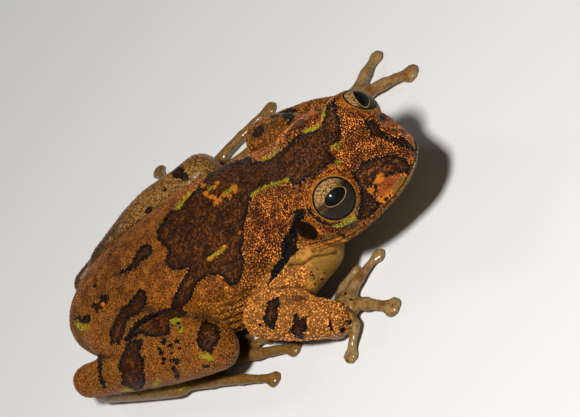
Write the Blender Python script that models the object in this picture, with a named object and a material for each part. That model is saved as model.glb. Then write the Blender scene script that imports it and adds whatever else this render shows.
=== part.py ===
"""Tawny tree frog, life size, crouched on a flat surface with its head turned to its own right.

Every named place is (left, forward, up) in millimetres: forward from the heels, left from the
line between them and up from the floor. The frog faces -Y, and its left side is at +X.
"""

import math
from dataclasses import dataclass

import bmesh
import bpy
from mathutils import Matrix, Vector

MM = 0.001
GAP = 0.3
FLOOR_REACH = 200.0
ORIGIN_LEFT = 2.07
ORIGIN_FORWARD = 31.27

TRUNK_SIDES = 36
TRUNK_STEP = 1.5
HEAD_STEP = 0.85
HEADING_REACH = 0.9
LIMB_SIDES = 12
DIGIT_SIDES = 8
SHARP_ANGLE = math.radians(50)
SLIVER = 0.000001

HEAD_YAW = math.radians(16)
NECK = (-1.35, 44.95)
NECK_CUT = -2.6
HEAD_LENGTH = 18.7
SNOUT_HEIGHT = 9.4
RUMP_HEIGHT = 5.4

EYE_RADIUS = 2.9
EYE_AHEAD = 10.6
EYE_OUT = 5.45
EYE_HEIGHT = 13.15
EYE_TURN = math.radians(52)
EYE_RAISE = math.radians(27)
LID_RADIUS = 3.7
LID_BACK = 0.8

MOUTH_START = 5.6
MOUTH_GROOVE = 0.22
NOSTRIL_AHEAD = 16.3
NOSTRIL_ANGLE = 44.0
NOSTRIL_RADIUS = 0.34
TYMPANUM_AHEAD = 5.2
TYMPANUM_ANGLE = 63.0
TYMPANUM_RADIUS = 1.6
TYMPANUM_RISE = 0.45
FOLD_RADIUS = 0.6


@dataclass(frozen=True)
class Section:
    """One upright cross-section of the trunk: its place on the spine and its outline."""

    left: float
    forward: float
    half_width: float
    top: float
    side: float
    bottom: float
    crown: float = 2.0
    keel: float = 2.0


def head_section(ahead, shift, half_width, top, side, bottom, crown, keel):
    """A section of the head, ahead of the neck along the turned head and shifted to the left of it."""
    left = NECK[0] - math.sin(HEAD_YAW) * ahead + math.cos(HEAD_YAW) * shift
    forward = NECK[1] + math.cos(HEAD_YAW) * ahead + math.sin(HEAD_YAW) * shift
    return Section(left, forward, half_width, top, side, bottom, crown, keel)


TRUNK = (
    Section(2.1, 1.4, 3.2, 7.8, 5.6, 3.2),
    Section(1.9, 3.4, 5.2, 9.1, 5.5, 1.3),
    Section(1.5, 6.4, 6.8, 10.6, 5.3, 0.1, 2.0, 2.2),
    Section(1.1, 11.0, 7.9, 12.0, 5.2, -0.25, 2.0, 2.3),
    Section(0.6, 17.0, 9.3, 12.9, 5.3, -0.3, 2.0, 2.4),
    Section(0.0, 24.0, 10.8, 13.2, 5.5, -0.3, 2.1, 2.4),
    Section(-0.5, 31.0, 11.3, 12.9, 5.8, -0.2, 2.1, 2.3),
    Section(-0.8, 37.0, 10.4, 12.6, 6.4, 0.5, 2.1, 2.2),
    Section(-0.9, 42.0, 9.5, 12.8, 7.4, 2.2, 2.1, 2.1),
    head_section(0.0, 0.9, 9.3, 13.5, 8.4, 3.9, 2.3, 2.3),
    head_section(4.0, 0.8, 9.1, 14.2, 8.2, 4.8, 2.8, 2.3),
    head_section(6.5, 0.5, 8.7, 14.7, 8.0, 5.3, 3.1, 2.3),
    head_section(9.2, 0.3, 7.9, 14.9, 8.0, 5.8, 3.1, 2.2),
    head_section(11.8, 0.1, 6.8, 14.3, 8.2, 6.3, 2.8, 2.1),
    head_section(14.1, 0.0, 5.3, 13.2, 8.5, 6.9, 2.5, 2.0),
    head_section(15.9, 0.0, 4.2, 12.2, 8.8, 7.4, 2.4, 2.0),
    head_section(17.2, 0.0, 3.0, 11.5, 9.0, 7.9, 2.4, 2.0),
    head_section(18.1, 0.0, 1.8, 10.8, 9.2, 8.5, 2.2, 2.0),
)


def place(left, forward, up):
    """A point of the frog, in metres, in the part's frame."""
    return Vector(((left - ORIGIN_LEFT) * MM, (ORIGIN_FORWARD - forward) * MM, up * MM))


def between(values, t):
    """Catmull-Rom value at t, where t = 0, 1, 2... falls on the values themselves."""
    last = len(values) - 1
    i = min(max(int(t), 0), last - 1)
    u = t - i
    a, b = values[max(i - 1, 0)], values[i]
    c, d = values[i + 1], values[min(i + 2, last)]
    return 0.5 * (2 * b + (c - a) * u + (2 * a - 5 * b + 4 * c - d) * u * u + (3 * b - a - 3 * c + d) * u**3)


def trunk_section(t):
    """The trunk's section at t, counted in sections from the rump."""
    names = ("left", "forward", "half_width", "top", "side", "bottom", "crown", "keel")
    return Section(*(between([getattr(s, n) for s in TRUNK], t) for n in names))


def trunk_heading(t):
    """The direction in which the spine runs at t, as (left, forward)."""
    a = trunk_section(max(t - HEADING_REACH, 0))
    b = trunk_section(min(t + HEADING_REACH, len(TRUNK) - 1))
    run = math.hypot(b.left - a.left, b.forward - a.forward)
    return (b.left - a.left) / run, (b.forward - a.forward) / run


def trunk_point(t, degrees, lift=0.0):
    """A point on the trunk: degrees from the midline of the back, positive to the left."""
    s = trunk_section(t)
    a = math.radians(degrees)
    upper = math.cos(a) >= 0
    power = 2 / (s.crown if upper else s.keel)
    rise = s.top - s.side if upper else s.side - s.bottom
    out = (s.half_width + lift) * math.copysign(abs(math.sin(a)) ** power, math.sin(a))
    up = s.side + (rise + lift) * math.copysign(abs(math.cos(a)) ** power, math.cos(a))
    ahead_left, ahead_forward = trunk_heading(t)
    return place(s.left + out * ahead_forward, s.forward - out * ahead_left, up)


def head_place(ahead, out, up):
    """A point of the head: ahead of the neck, out to the left of its midline, and up."""
    left = NECK[0] - math.sin(HEAD_YAW) * ahead + math.cos(HEAD_YAW) * out
    forward = NECK[1] + math.cos(HEAD_YAW) * ahead + math.sin(HEAD_YAW) * out
    return place(left, forward, up)


def head_t(ahead):
    """The trunk's t at a distance ahead of the neck."""
    base = NECK[1]
    low, high = 9.0 - 2.0, len(TRUNK) - 1.0
    for _ in range(40):
        middle = (low + high) / 2
        s = trunk_section(middle)
        reach = (s.forward - base) * math.cos(HEAD_YAW) - (s.left - NECK[0]) * math.sin(HEAD_YAW)
        low, high = (middle, high) if reach < ahead else (low, middle)
    return low


def finish(name, bm, colour=None, roughness=0.45):
    """A mesh object from bm, with outward faces and, for a part, its own material."""
    bmesh.ops.recalc_face_normals(bm, faces=bm.faces)
    mesh = bpy.data.meshes.new(name)
    bm.to_mesh(mesh)
    bm.free()
    mesh.shade_smooth()
    part = bpy.data.objects.new(name, mesh)
    bpy.context.scene.collection.objects.link(part)
    if colour:
        paint(part, colour, roughness)
    return part


def paint(part, colour, roughness=0.45):
    """Gives a part one Principled material of its own."""
    material = bpy.data.materials.new(part.name)
    material.use_nodes = True
    shader = material.node_tree.nodes["Principled BSDF"]
    shader.inputs["Base Color"].default_value = (*colour, 1)
    shader.inputs["Roughness"].default_value = roughness
    shader.inputs["Metallic"].default_value = 0.0
    part.data.materials.clear()
    part.data.materials.append(material)


def loft(name, rings, start, end):
    """A closed surface through rings of points, drawn in to one point at each end."""
    bm = bmesh.new()
    rows = [[bm.verts.new(p) for p in ring] for ring in rings]
    count = len(rows[0])
    for near, far in zip(rows, rows[1:]):
        for i in range(count):
            j = (i + 1) % count
            bm.faces.new((near[i], near[j], far[j], far[i]))
    for row, tip in ((rows[0], start), (rows[-1], end)):
        pole = bm.verts.new(tip)
        for i in range(count):
            bm.faces.new((row[i], row[(i + 1) % count], pole))
    return finish(name, bm)


def make_trunk():
    """Torso and head in one piece, from the rump to the snout."""
    rings = []
    t, last = 0.0, len(TRUNK) - 1
    while t < last:
        rings.append([trunk_point(t, 360 * i / TRUNK_SIDES) for i in range(TRUNK_SIDES)])
        here, ahead = trunk_section(t), trunk_section(min(t + 0.1, last))
        run = math.hypot(ahead.left - here.left, ahead.forward - here.forward)
        t += (TRUNK_STEP if here.forward < NECK[1] - 3 else HEAD_STEP) * 0.1 / run
    rings.append([trunk_point(last, 360 * i / TRUNK_SIDES) for i in range(TRUNK_SIDES)])
    rump = place(TRUNK[0].left, TRUNK[0].forward - 1.0, RUMP_HEIGHT)
    return loft("trunk", rings, rump, head_place(HEAD_LENGTH, 0, SNOUT_HEIGHT))


def tube(name, path, widths, heights, sides=LIMB_SIDES, steps=3):
    """A limb: an elliptical tube through the path's places, with domed ends.

    widths and heights are half the tube's size across and upwards at each place of the path.
    """
    samples = [i / steps for i in range((len(path) - 1) * steps + 1)]
    axes = [[p[k] for p in path] for k in range(3)]
    centres = [place(*(between(axis, t) for axis in axes)) for t in samples]
    wide = [between(widths, t) * MM for t in samples]
    high = [between(heights, t) * MM for t in samples]
    rings = []

    def ring(centre, along, w, h):
        across = along.cross(Vector((0, 0, 1))).normalized()
        upward = across.cross(along).normalized()
        turns = (2 * math.pi * i / sides for i in range(sides))
        rings.append([centre + across * w * math.cos(a) + upward * h * math.sin(a) for a in turns])

    first = (centres[1] - centres[0]).normalized()
    final = (centres[-1] - centres[-2]).normalized()
    for degrees in (70, 40):
        c, s = math.cos(math.radians(degrees)), math.sin(math.radians(degrees))
        ring(centres[0] - first * wide[0] * s, first, wide[0] * c, high[0] * c)
    for i, centre in enumerate(centres):
        along = centres[min(i + 1, len(centres) - 1)] - centres[max(i - 1, 0)]
        ring(centre, along.normalized(), wide[i], high[i])
    for degrees in (40, 70):
        c, s = math.cos(math.radians(degrees)), math.sin(math.radians(degrees))
        ring(centres[-1] + final * wide[-1] * s, final, wide[-1] * c, high[-1] * c)
    return loft(name, rings, centres[0] - first * wide[0], centres[-1] + final * wide[-1])


def ball(name, centre, radii, along=None, across=16, rows=10, axis="Y"):
    """An ellipsoid at centre, in metres: radii in mm, with its named axis along a direction."""
    bm = bmesh.new()
    bmesh.ops.create_uvsphere(bm, u_segments=across, v_segments=rows, radius=1.0)
    turn = Matrix.Identity(4)
    if along is not None:
        turn = along.to_track_quat(axis, "Z" if axis == "Y" else "Y").to_matrix().to_4x4()
    shape = Matrix.Translation(centre) @ turn @ Matrix.Diagonal((*(r * MM for r in radii), 1))
    bmesh.ops.transform(bm, matrix=shape, verts=bm.verts)
    return finish(name, bm)


def cord(name, points, radius, sides=6):
    """A thin round tube through points in metres, for grooves and folds of skin."""
    rings = []
    for i, centre in enumerate(points):
        along = (points[min(i + 1, len(points) - 1)] - points[max(i - 1, 0)]).normalized()
        across = along.orthogonal().normalized() if i == 0 else (across - along * across.dot(along)).normalized()
        other = along.cross(across)
        turns = (2 * math.pi * k / sides for k in range(sides))
        rings.append([centre + (across * math.cos(a) + other * math.sin(a)) * radius * MM for a in turns])
    start = points[0] + (points[0] - points[1]).normalized() * radius * MM
    end = points[-1] + (points[-1] - points[-2]).normalized() * radius * MM
    return loft(name, rings, start, end)


def swollen(part, by):
    """A copy of a part whose surface stands off it by some millimetres, to cut its neighbours with."""
    copy = duplicate(part, part.name + "_swollen")
    bm = bmesh.new()
    bm.from_mesh(copy.data)
    bm.normal_update()
    moves = [(v, v.normal * by * MM) for v in bm.verts]
    for v, move in moves:
        v.co += move
    bm.to_mesh(copy.data)
    bm.free()
    return copy


def boolean(part, others, operation):
    """Joins others to a part or takes them from it, and removes them."""
    helpers = bpy.data.collections.new("helpers")
    for other in others:
        helpers.objects.link(other)
    modifier = part.modifiers.new("boolean", "BOOLEAN")
    modifier.operation = operation
    modifier.operand_type = "COLLECTION"
    modifier.collection = helpers
    modifier.solver = "MANIFOLD"
    graph = bpy.context.evaluated_depsgraph_get()
    mesh = bpy.data.meshes.new_from_object(part.evaluated_get(graph))
    part.modifiers.clear()
    part.data = mesh
    for other in list(helpers.objects):
        bpy.data.objects.remove(other)
    bpy.data.collections.remove(helpers)
    return part


def drop_flaps(bm):
    """Takes out pairs of triangles that lie back to back on the same three points."""
    groups = {}
    for face in bm.faces:
        groups.setdefault(frozenset(face.verts), []).append(face)
    doubled = [face for group in groups.values() if len(group) > 1 for face in group]
    bmesh.ops.delete(bm, geom=doubled, context="FACES")


def largest_piece(part):
    """Keeps a part's largest closed surface and drops any scrap that a cut left loose."""
    bm = bmesh.new()
    bm.from_mesh(part.data)
    bmesh.ops.triangulate(bm, faces=bm.faces, ngon_method="EAR_CLIP")
    drop_flaps(bm)
    bmesh.ops.dissolve_degenerate(bm, dist=SLIVER, edges=bm.edges)
    bmesh.ops.triangulate(bm, faces=bm.faces, ngon_method="EAR_CLIP")
    drop_flaps(bm)
    islands, seen = [], set()
    for start in bm.verts:
        if start in seen:
            continue
        stack, island = [start], []
        seen.add(start)
        while stack:
            v = stack.pop()
            island.append(v)
            for edge in v.link_edges:
                other = edge.other_vert(v)
                if other not in seen:
                    seen.add(other)
                    stack.append(other)
        islands.append(island)
    islands.sort(key=len, reverse=True)
    for island in islands[1:]:
        bmesh.ops.delete(bm, geom=island, context="VERTS")
    bm.to_mesh(part.data)
    bm.free()
    part.data.set_sharp_from_angle(angle=SHARP_ANGLE)
    return part


def below_floor():
    """All that lies under the floor, to cut a part off flat there."""
    bm = bmesh.new()
    reach = FLOOR_REACH * MM
    bmesh.ops.create_cube(bm, size=reach)
    bmesh.ops.translate(bm, vec=(0, 0, -reach / 2), verts=bm.verts)
    return finish("below_floor", bm)


def neck_box(way):
    """All that lies ahead of the neck (1) or behind it (-1), half a gap off the plane that parts them."""
    t = head_t(NECK_CUT)
    s, heading = trunk_section(t), trunk_heading(t)
    ahead = Vector((heading[0], -heading[1], 0)).normalized() * way
    bm = bmesh.new()
    reach = FLOOR_REACH * MM
    bmesh.ops.create_cube(bm, size=reach)
    centre = place(s.left, s.forward, s.side) + ahead * (reach / 2 - GAP * MM / 2)
    turn = ahead.to_track_quat("Y", "Z").to_matrix().to_4x4()
    bmesh.ops.transform(bm, matrix=Matrix.Translation(centre) @ turn, verts=bm.verts)
    return finish("neck_box", bm)


def duplicate(part, name):
    """A separate copy of a part."""
    copy = part.copy()
    copy.data = part.data.copy()
    copy.name = name
    bpy.context.scene.collection.objects.link(copy)
    return copy


def clear_of(part, originals):
    """Cuts a part back so that it stands off its neighbours by the gap."""
    return boolean(part, [swollen(o, GAP) for o in originals], "DIFFERENCE")


def digit(name, path, width, disc, floor=0.0):
    """A finger or toe along the floor: a tapering tube with a rounded disc at its tip."""
    count = len(path)
    widths = [width * (1.12 - 0.24 * i / (count - 1)) for i in range(count)]
    heights = [0.82 * w for w in widths]
    heights[-1] *= 0.75
    pieces = [tube(name, path, widths, heights, DIGIT_SIDES, 2)]
    tip, before = place(*path[-1]), place(*path[-2])
    along = (tip - before).normalized()
    along.z = 0
    pad = tip + along * disc * 0.35 * MM
    pad.z = (floor + 0.42) * MM
    pieces.append(ball(name + "_disc", pad, (disc, disc * 0.9, 0.62), along, 12, 6))
    return pieces


def web(name, base, first, second, depth, thickness=0.5, low=0.15):
    """The skin between two digits: a thin sheet with a hollow front edge, from base to a share of each."""
    def along(path, share):
        t = share * (len(path) - 1)
        return [between([p[k] for p in path], t) for k in range(2)]

    shares = (0.0, depth / 2, depth)
    left_edge = [along(first, s) for s in shares]
    right_edge = [along(second, s) for s in shares]
    a, b = left_edge[-1], right_edge[-1]
    dip = 0.55
    middle = [dip * (a[k] + b[k]) / 2 + (1 - dip) * base[k] for k in range(2)]
    outline = [base, *left_edge[1:], middle, *reversed(right_edge[1:])]
    bm = bmesh.new()
    lower = [bm.verts.new(place(x, y, low)) for x, y in outline]
    upper = [bm.verts.new(place(x, y, low + thickness)) for x, y in outline]
    count = len(outline)
    for i in range(1, count - 1):
        bm.faces.new((lower[0], lower[i], lower[i + 1]))
        bm.faces.new((upper[0], upper[i + 1], upper[i]))
    for i in range(count):
        j = (i + 1) % count
        bm.faces.new((lower[i], upper[i], upper[j], lower[j]))
    return finish(name, bm)


@dataclass(frozen=True)
class Side:
    """The places of one side's limbs, each (left, forward, up), with the side's sign for left."""

    name: str
    sign: int
    shoulder: tuple
    elbow: tuple
    wrist: tuple
    palm: tuple
    fingers: tuple
    hip: tuple
    knee: tuple
    heel: tuple
    sole: tuple
    toes: tuple


RIGHT = Side(
    name="right",
    sign=-1,
    shoulder=(-8.8, 44.4, 6.4),
    elbow=(-13.0, 34.2, 5.0),
    wrist=(-16.8, 43.6, 3.1),
    palm=(-14.2, 44.0, 1.4),
    fingers=(
        ((-12.9, 42.6, 1.1), (-10.9, 43.2, 0.9), (-9.1, 44.7, 0.7)),
        ((-13.2, 44.2, 1.2), (-11.2, 46.0, 1.1), (-8.8, 48.3, 0.7)),
        ((-14.0, 44.4, 1.4), (-15.5, 47.4, 1.3), (-17.0, 50.4, 0.7)),
        ((-15.0, 43.8, 1.4), (-17.6, 45.6, 1.3), (-20.6, 44.4, 0.7)),
    ),
    hip=(-3.6, 9.0, 6.6),
    knee=(-14.8, 27.2, 6.3),
    heel=(-7.6, 3.0, 4.9),
    sole=(-12.4, 16.2, 1.5),
    toes=(
        ((-11.6, 16.6, 1.2), (-10.2, 20.0, 1.0), (-9.2, 22.8, 0.7)),
        ((-11.9, 17.0, 1.2), (-10.8, 22.0, 1.0), (-10.2, 26.6, 0.7)),
        ((-12.2, 17.4, 1.2), (-11.8, 24.0, 1.0), (-11.9, 30.4, 0.7)),
        ((-12.6, 17.4, 1.3), (-13.2, 26.0, 1.2), (-15.3, 34.3, 0.7)),
        ((-13.0, 17.0, 1.3), (-15.4, 24.0, 1.1), (-18.2, 31.0, 0.7)),
    ),
)

LEFT = Side(
    name="left",
    sign=1,
    shoulder=(8.0, 43.4, 6.4),
    elbow=(14.6, 33.6, 5.0),
    wrist=(14.6, 43.4, 3.1),
    palm=(16.4, 45.6, 1.4),
    fingers=(
        ((15.4, 44.8, 1.2), (13.4, 45.0, 1.0), (11.6, 45.7, 0.7)),
        ((15.8, 45.8, 1.2), (13.9, 47.6, 1.1), (12.0, 48.9, 0.7)),
        ((16.6, 46.2, 1.4), (16.6, 50.0, 1.2), (16.6, 53.4, 0.7)),
        ((17.4, 45.6, 1.4), (20.0, 47.0, 1.2), (22.0, 47.9, 0.7)),
    ),
    hip=(6.2, 9.0, 6.6),
    knee=(14.3, 22.6, 5.5),
    heel=(8.2, 1.8, 4.8),
    sole=(15.8, 12.0, 1.5),
    toes=(
        ((15.2, 12.6, 1.2), (14.6, 16.4, 1.0), (14.4, 19.4, 0.7)),
        ((15.6, 13.0, 1.2), (16.0, 18.4, 1.0), (16.2, 23.0, 0.7)),
        ((16.0, 13.2, 1.2), (18.0, 20.0, 1.0), (19.6, 26.6, 0.7)),
        ((16.4, 13.2, 1.3), (20.8, 22.4, 1.2), (24.2, 29.0, 0.7)),
        ((16.8, 12.4, 1.3), (21.2, 11.4, 1.1), (24.8, 9.2, 0.7)),
    ),
)

FINGER_WIDTHS = (0.66, 0.74, 0.86, 0.8)
FINGER_DISCS = (0.9, 1.12, 1.4, 1.2)
TOE_WIDTHS = (0.6, 0.66, 0.74, 0.84, 0.78)
TOE_DISCS = (0.8, 0.92, 1.08, 1.28, 1.16)
TOE_WEB = 0.5
FINGER_WEB = 0.34

SKIN = (0.42, 0.2, 0.06)
BACK = (0.24, 0.11, 0.04)
PALE = (0.5, 0.32, 0.15)
IRIS = (0.2, 0.14, 0.07)


def blend(a, b, share):
    """A place part of the way from a to b."""
    return tuple(x + (y - x) * share for x, y in zip(a, b))


def raised(p, up):
    """The same place, higher."""
    return (p[0], p[1], p[2] + up)


def upper_arm(side):
    """From the shoulder, inside the trunk, back and out to the elbow."""
    middle = raised(blend(side.shoulder, side.elbow, 0.5), 0.2)
    middle = (middle[0] + side.sign * 0.5, *middle[1:])
    path = (side.shoulder, middle, side.elbow)
    return tube("upper_arm_" + side.name, path, (3.2, 3.0, 2.6), (3.2, 3.0, 2.6))


def forearm(side):
    """From the elbow forward and down to the wrist, fullest near the elbow."""
    near, far = blend(side.elbow, side.wrist, 0.35), blend(side.elbow, side.wrist, 0.75)
    path = (side.elbow, raised(near, -0.1), far, side.wrist)
    return tube("forearm_" + side.name, path, (2.6, 2.7, 2.6, 2.2), (2.6, 2.7, 2.5, 2.1))


def hand(side):
    """Palm, four fingers with discs and the short web at their roots, in one piece."""
    wrist = (side.wrist[0], side.wrist[1] - 0.4, 1.7)
    palm = tube("hand_" + side.name, (wrist, side.palm), (1.9, 2.1), (1.5, 1.3))
    pieces = []
    for i, path in enumerate(side.fingers):
        pieces += digit(f"finger_{side.name}_{i}", path, FINGER_WIDTHS[i], FINGER_DISCS[i])
    base = side.palm[:2]
    for i in range(len(side.fingers) - 1):
        pieces.append(web(f"web_{side.name}_{i}", base, side.fingers[i], side.fingers[i + 1], FINGER_WEB))
    boolean(palm, pieces, "UNION")
    return boolean(palm, [below_floor()], "DIFFERENCE")


def thigh(side):
    """From the hip, inside the trunk, forward and out to the knee."""
    middle = raised(blend(side.hip, side.knee, 0.5), 0.4)
    path = (side.hip, middle, blend(side.hip, side.knee, 0.8), side.knee)
    return tube("thigh_" + side.name, path, (3.8, 4.0, 3.4, 2.9), (3.9, 4.1, 3.5, 3.0))


def shank(side):
    """From the knee back to the heel, fullest at the calf."""
    calf, ankle = blend(side.knee, side.heel, 0.35), blend(side.knee, side.heel, 0.78)
    path = (side.knee, raised(calf, 0.1), ankle, side.heel)
    return tube("shank_" + side.name, path, (2.9, 3.1, 2.5, 2.2), (2.9, 3.1, 2.5, 2.2), steps=4)


def foot(side):
    """Ankle, sole, five toes with discs and the webs between them, in one piece."""
    ankle = (side.heel[0], side.heel[1] + 0.4, 2.2)
    middle = (*blend(side.heel, side.sole, 0.5)[:2], 1.6)
    sole = tube("foot_" + side.name, (ankle, middle, side.sole), (1.9, 1.8, 1.9), (1.6, 1.4, 1.2))
    pieces = []
    for i, path in enumerate(side.toes):
        pieces += digit(f"toe_{side.name}_{i}", path, TOE_WIDTHS[i], TOE_DISCS[i])
    base = side.sole[:2]
    for i in range(len(side.toes) - 1):
        pieces.append(web(f"web_{side.name}_{i}", base, side.toes[i], side.toes[i + 1], TOE_WEB))
    boolean(sole, pieces, "UNION")
    return boolean(sole, [below_floor()], "DIFFERENCE")


def gaze(sign, back=0.0):
    """The place some millimetres back from an eye's centre, against the way it looks."""
    ahead = EYE_AHEAD - back * math.cos(EYE_RAISE) * math.cos(EYE_TURN)
    out = EYE_OUT - back * math.cos(EYE_RAISE) * math.sin(EYE_TURN)
    return head_place(ahead, sign * out, EYE_HEIGHT - back * math.sin(EYE_RAISE))


def eye(sign, name):
    """One eyeball."""
    look = (gaze(sign) - gaze(sign, 1)).normalized()
    return ball(name, gaze(sign), (EYE_RADIUS,) * 3, look, 20, 14, "Z")


def lid(sign, name):
    """The skin about an eyeball, set back from where the eye looks so that the eye shows there."""
    look = (gaze(sign) - gaze(sign, 1)).normalized()
    return ball(name, gaze(sign, LID_BACK), (LID_RADIUS,) * 3, look, 20, 16, "Z")


def ear_fold(sign):
    """The fold of skin from the eye's corner over the eardrum to the shoulder."""
    marks = ((8.2, 62), (6.4, 53), (4.6, 50), (2.8, 53), (1.4, 62), (0.6, 72))
    steps = [k / 3 for k in range(3 * (len(marks) - 1) + 1)]
    places = [(between([m[0] for m in marks], t), between([m[1] for m in marks], t)) for t in steps]
    points = [trunk_point(head_t(ahead), sign * degrees, -0.2) for ahead, degrees in places]
    return cord("ear_fold", points, FOLD_RADIUS)


def mouth_line():
    """The groove between the lips, from one corner of the mouth round the snout to the other."""
    steps = 16
    marks = [MOUTH_START + (HEAD_LENGTH - 0.9 - MOUTH_START) * i / steps for i in range(steps + 1)]
    right = [trunk_point(head_t(ahead), -93) for ahead in marks]
    left = [trunk_point(head_t(ahead), 93) for ahead in marks]
    tip = head_place(HEAD_LENGTH, 0, SNOUT_HEIGHT - 0.25)
    return cord("mouth_line", right + [tip] + left[::-1], MOUTH_GROOVE, 5)


def nostril(sign):
    """A small pit high on the side of the snout."""
    centre = trunk_point(head_t(NOSTRIL_AHEAD), sign * NOSTRIL_ANGLE)
    return ball("nostril", centre, (NOSTRIL_RADIUS,) * 3, None, 8, 6)


def eardrum(sign):
    """The eardrum: a low round disc behind and below the eye."""
    t = head_t(TYMPANUM_AHEAD)
    centre = trunk_point(t, sign * TYMPANUM_ANGLE)
    along = trunk_point(t + 0.1, sign * TYMPANUM_ANGLE) - trunk_point(t - 0.1, sign * TYMPANUM_ANGLE)
    down = trunk_point(t, sign * (TYMPANUM_ANGLE + 5)) - trunk_point(t, sign * (TYMPANUM_ANGLE - 5))
    radii = (TYMPANUM_RADIUS, TYMPANUM_RADIUS, TYMPANUM_RISE)
    return ball("eardrum", centre, radii, along.normalized().cross(down.normalized()), 16, 8, "Z")


def build():
    """Models the frog and leaves one named object for each of its parts."""
    for old in list(bpy.data.objects):
        bpy.data.objects.remove(old)
    trunk = make_trunk()
    bare_trunk = duplicate(trunk, "bare_trunk")
    eyes = [eye(1, "eye_left"), eye(-1, "eye_right")]
    lids = [lid(1, "lid_left"), lid(-1, "lid_right")]
    boolean(trunk, lids + [ear_fold(1), ear_fold(-1), eardrum(1), eardrum(-1)], "UNION")
    cuts = [swollen(e, GAP) for e in eyes] + [mouth_line(), nostril(1), nostril(-1)]
    boolean(trunk, cuts, "DIFFERENCE")
    torso, head = duplicate(trunk, "torso"), duplicate(trunk, "head")
    bpy.data.objects.remove(trunk)
    boolean(torso, [neck_box(1), below_floor()], "DIFFERENCE")
    boolean(head, [neck_box(-1)], "DIFFERENCE")

    limbs = []
    for side in (LEFT, RIGHT):
        upper, fore, palm = upper_arm(side), forearm(side), hand(side)
        thick, calf, sole = thigh(side), shank(side), foot(side)
        originals = {
            "upper": duplicate(upper, "upper_whole"),
            "fore": duplicate(fore, "fore_whole"),
            "thigh": duplicate(thick, "thigh_whole"),
            "shank": duplicate(calf, "shank_whole"),
        }
        clear_of(upper, [bare_trunk])
        clear_of(fore, [bare_trunk, originals["upper"]])
        clear_of(palm, [bare_trunk, originals["fore"]])
        clear_of(thick, [bare_trunk])
        clear_of(calf, [bare_trunk, originals["thigh"]])
        clear_of(sole, [bare_trunk, originals["thigh"], originals["shank"]])
        for whole in originals.values():
            bpy.data.objects.remove(whole)
        limbs += [upper, fore, palm, thick, calf, sole]
    bpy.data.objects.remove(bare_trunk)

    for part in (torso, head, *limbs):
        largest_piece(part)
    for part in (torso, head):
        paint(part, BACK)
    for part in limbs:
        pale = part.name.startswith(("hand", "foot"))
        paint(part, PALE if pale else SKIN)
    for part in eyes:
        paint(part, IRIS, 0.1)


build()
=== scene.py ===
"""Looks of the tawny tree frog model: one continuous skin, two eyes, a floor, lights and a camera.

Lengths in this script are millimetres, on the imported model's own axes: the frog faces -Y, its left
side is at +X and the floor is z = 0. Every finished mesh is brought to metres as it is made.
"""

import logging
import math
from dataclasses import dataclass, field
from enum import Enum

import bmesh
import bpy
import numpy as np
from mathutils import Matrix, Vector, noise
from mathutils.bvhtree import BVHTree
from mathutils.kdtree import KDTree


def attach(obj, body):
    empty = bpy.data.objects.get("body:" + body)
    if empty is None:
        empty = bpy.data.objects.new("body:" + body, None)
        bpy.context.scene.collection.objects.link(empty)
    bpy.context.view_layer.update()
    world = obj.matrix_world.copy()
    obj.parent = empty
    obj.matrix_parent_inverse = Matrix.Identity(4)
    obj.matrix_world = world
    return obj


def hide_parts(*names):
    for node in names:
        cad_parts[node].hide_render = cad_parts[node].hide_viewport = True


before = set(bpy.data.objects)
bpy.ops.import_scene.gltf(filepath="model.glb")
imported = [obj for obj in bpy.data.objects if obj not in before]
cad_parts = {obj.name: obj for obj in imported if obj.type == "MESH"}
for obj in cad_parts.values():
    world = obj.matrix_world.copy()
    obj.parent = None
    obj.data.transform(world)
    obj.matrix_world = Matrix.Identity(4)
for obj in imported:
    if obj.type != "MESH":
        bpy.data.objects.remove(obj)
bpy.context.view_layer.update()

LOG = logging.getLogger("frog")
MM = 0.001
ORIGIN_LEFT = 2.07
ORIGIN_FORWARD = 31.27
BODY = "root"

Array = np.ndarray
Socket = bpy.types.NodeSocket
Sockets = dict[str, Socket]
Colour = tuple[float, float, float]
Pixels = tuple[tuple[float, float], ...]
Ramp = tuple[float, float]


def place(left: Array | float, forward: Array | float, up: Array | float) -> Array:
    """Turns places told as left, forward from the heels and up into points on the model's axes.

    Args:
        left: Distance to the frog's left of the line between its heels.
        forward: Distance ahead of the heels.
        up: Height above the floor.

    Returns:
        Points in millimetres, with x, y and z along the last axis.
    """
    left, forward, up = np.broadcast_arrays(left, forward, up)
    return np.stack([left - ORIGIN_LEFT, ORIGIN_FORWARD - forward, up], -1).astype(float)


def between(values: Array | tuple, t: Array | float) -> Array:
    """Reads a smooth Catmull-Rom curve through evenly counted values.

    Args:
        values: The values, numbers or rows of numbers, that the curve passes through.
        t: Where to read it, with 0, 1, 2... on the values themselves.

    Returns:
        The curve's values at t.
    """
    rows = np.asarray(values, float)
    t = np.asarray(t, float)
    last = len(rows) - 1
    i = np.clip(t.astype(int), 0, last - 1)
    u = (t - i).reshape(t.shape + (1,) * (rows.ndim - 1))
    a, b = rows[np.maximum(i - 1, 0)], rows[i]
    c, d = rows[i + 1], rows[np.minimum(i + 2, last)]
    return 0.5 * (2 * b + (c - a) * u + (2 * a - 5 * b + 4 * c - d) * u**2 + (3 * b - a - 3 * c + d) * u**3)


def ease(low: float, high: float, value: Array) -> Array:
    """A smooth step from 0 at low to 1 at high, or the other way round where low is above high."""
    share = np.clip((value - low) / (high - low), 0.0, 1.0)
    return share * share * (3 - 2 * share)


def unit(vectors: Array) -> Array:
    """Vectors brought to length 1."""
    return vectors / np.maximum(np.linalg.norm(vectors, axis=-1, keepdims=True), 1e-12)


def bell(off: Array, height: Array | float, width: float) -> Array:
    """A rounded rise of some height and width, by distance off its middle."""
    return height * np.exp(-((off / width) ** 2))


def apart(points: Array, place: Array) -> Array:
    """Distance from each point to one place."""
    return np.linalg.norm(points - place, axis=1)


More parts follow.
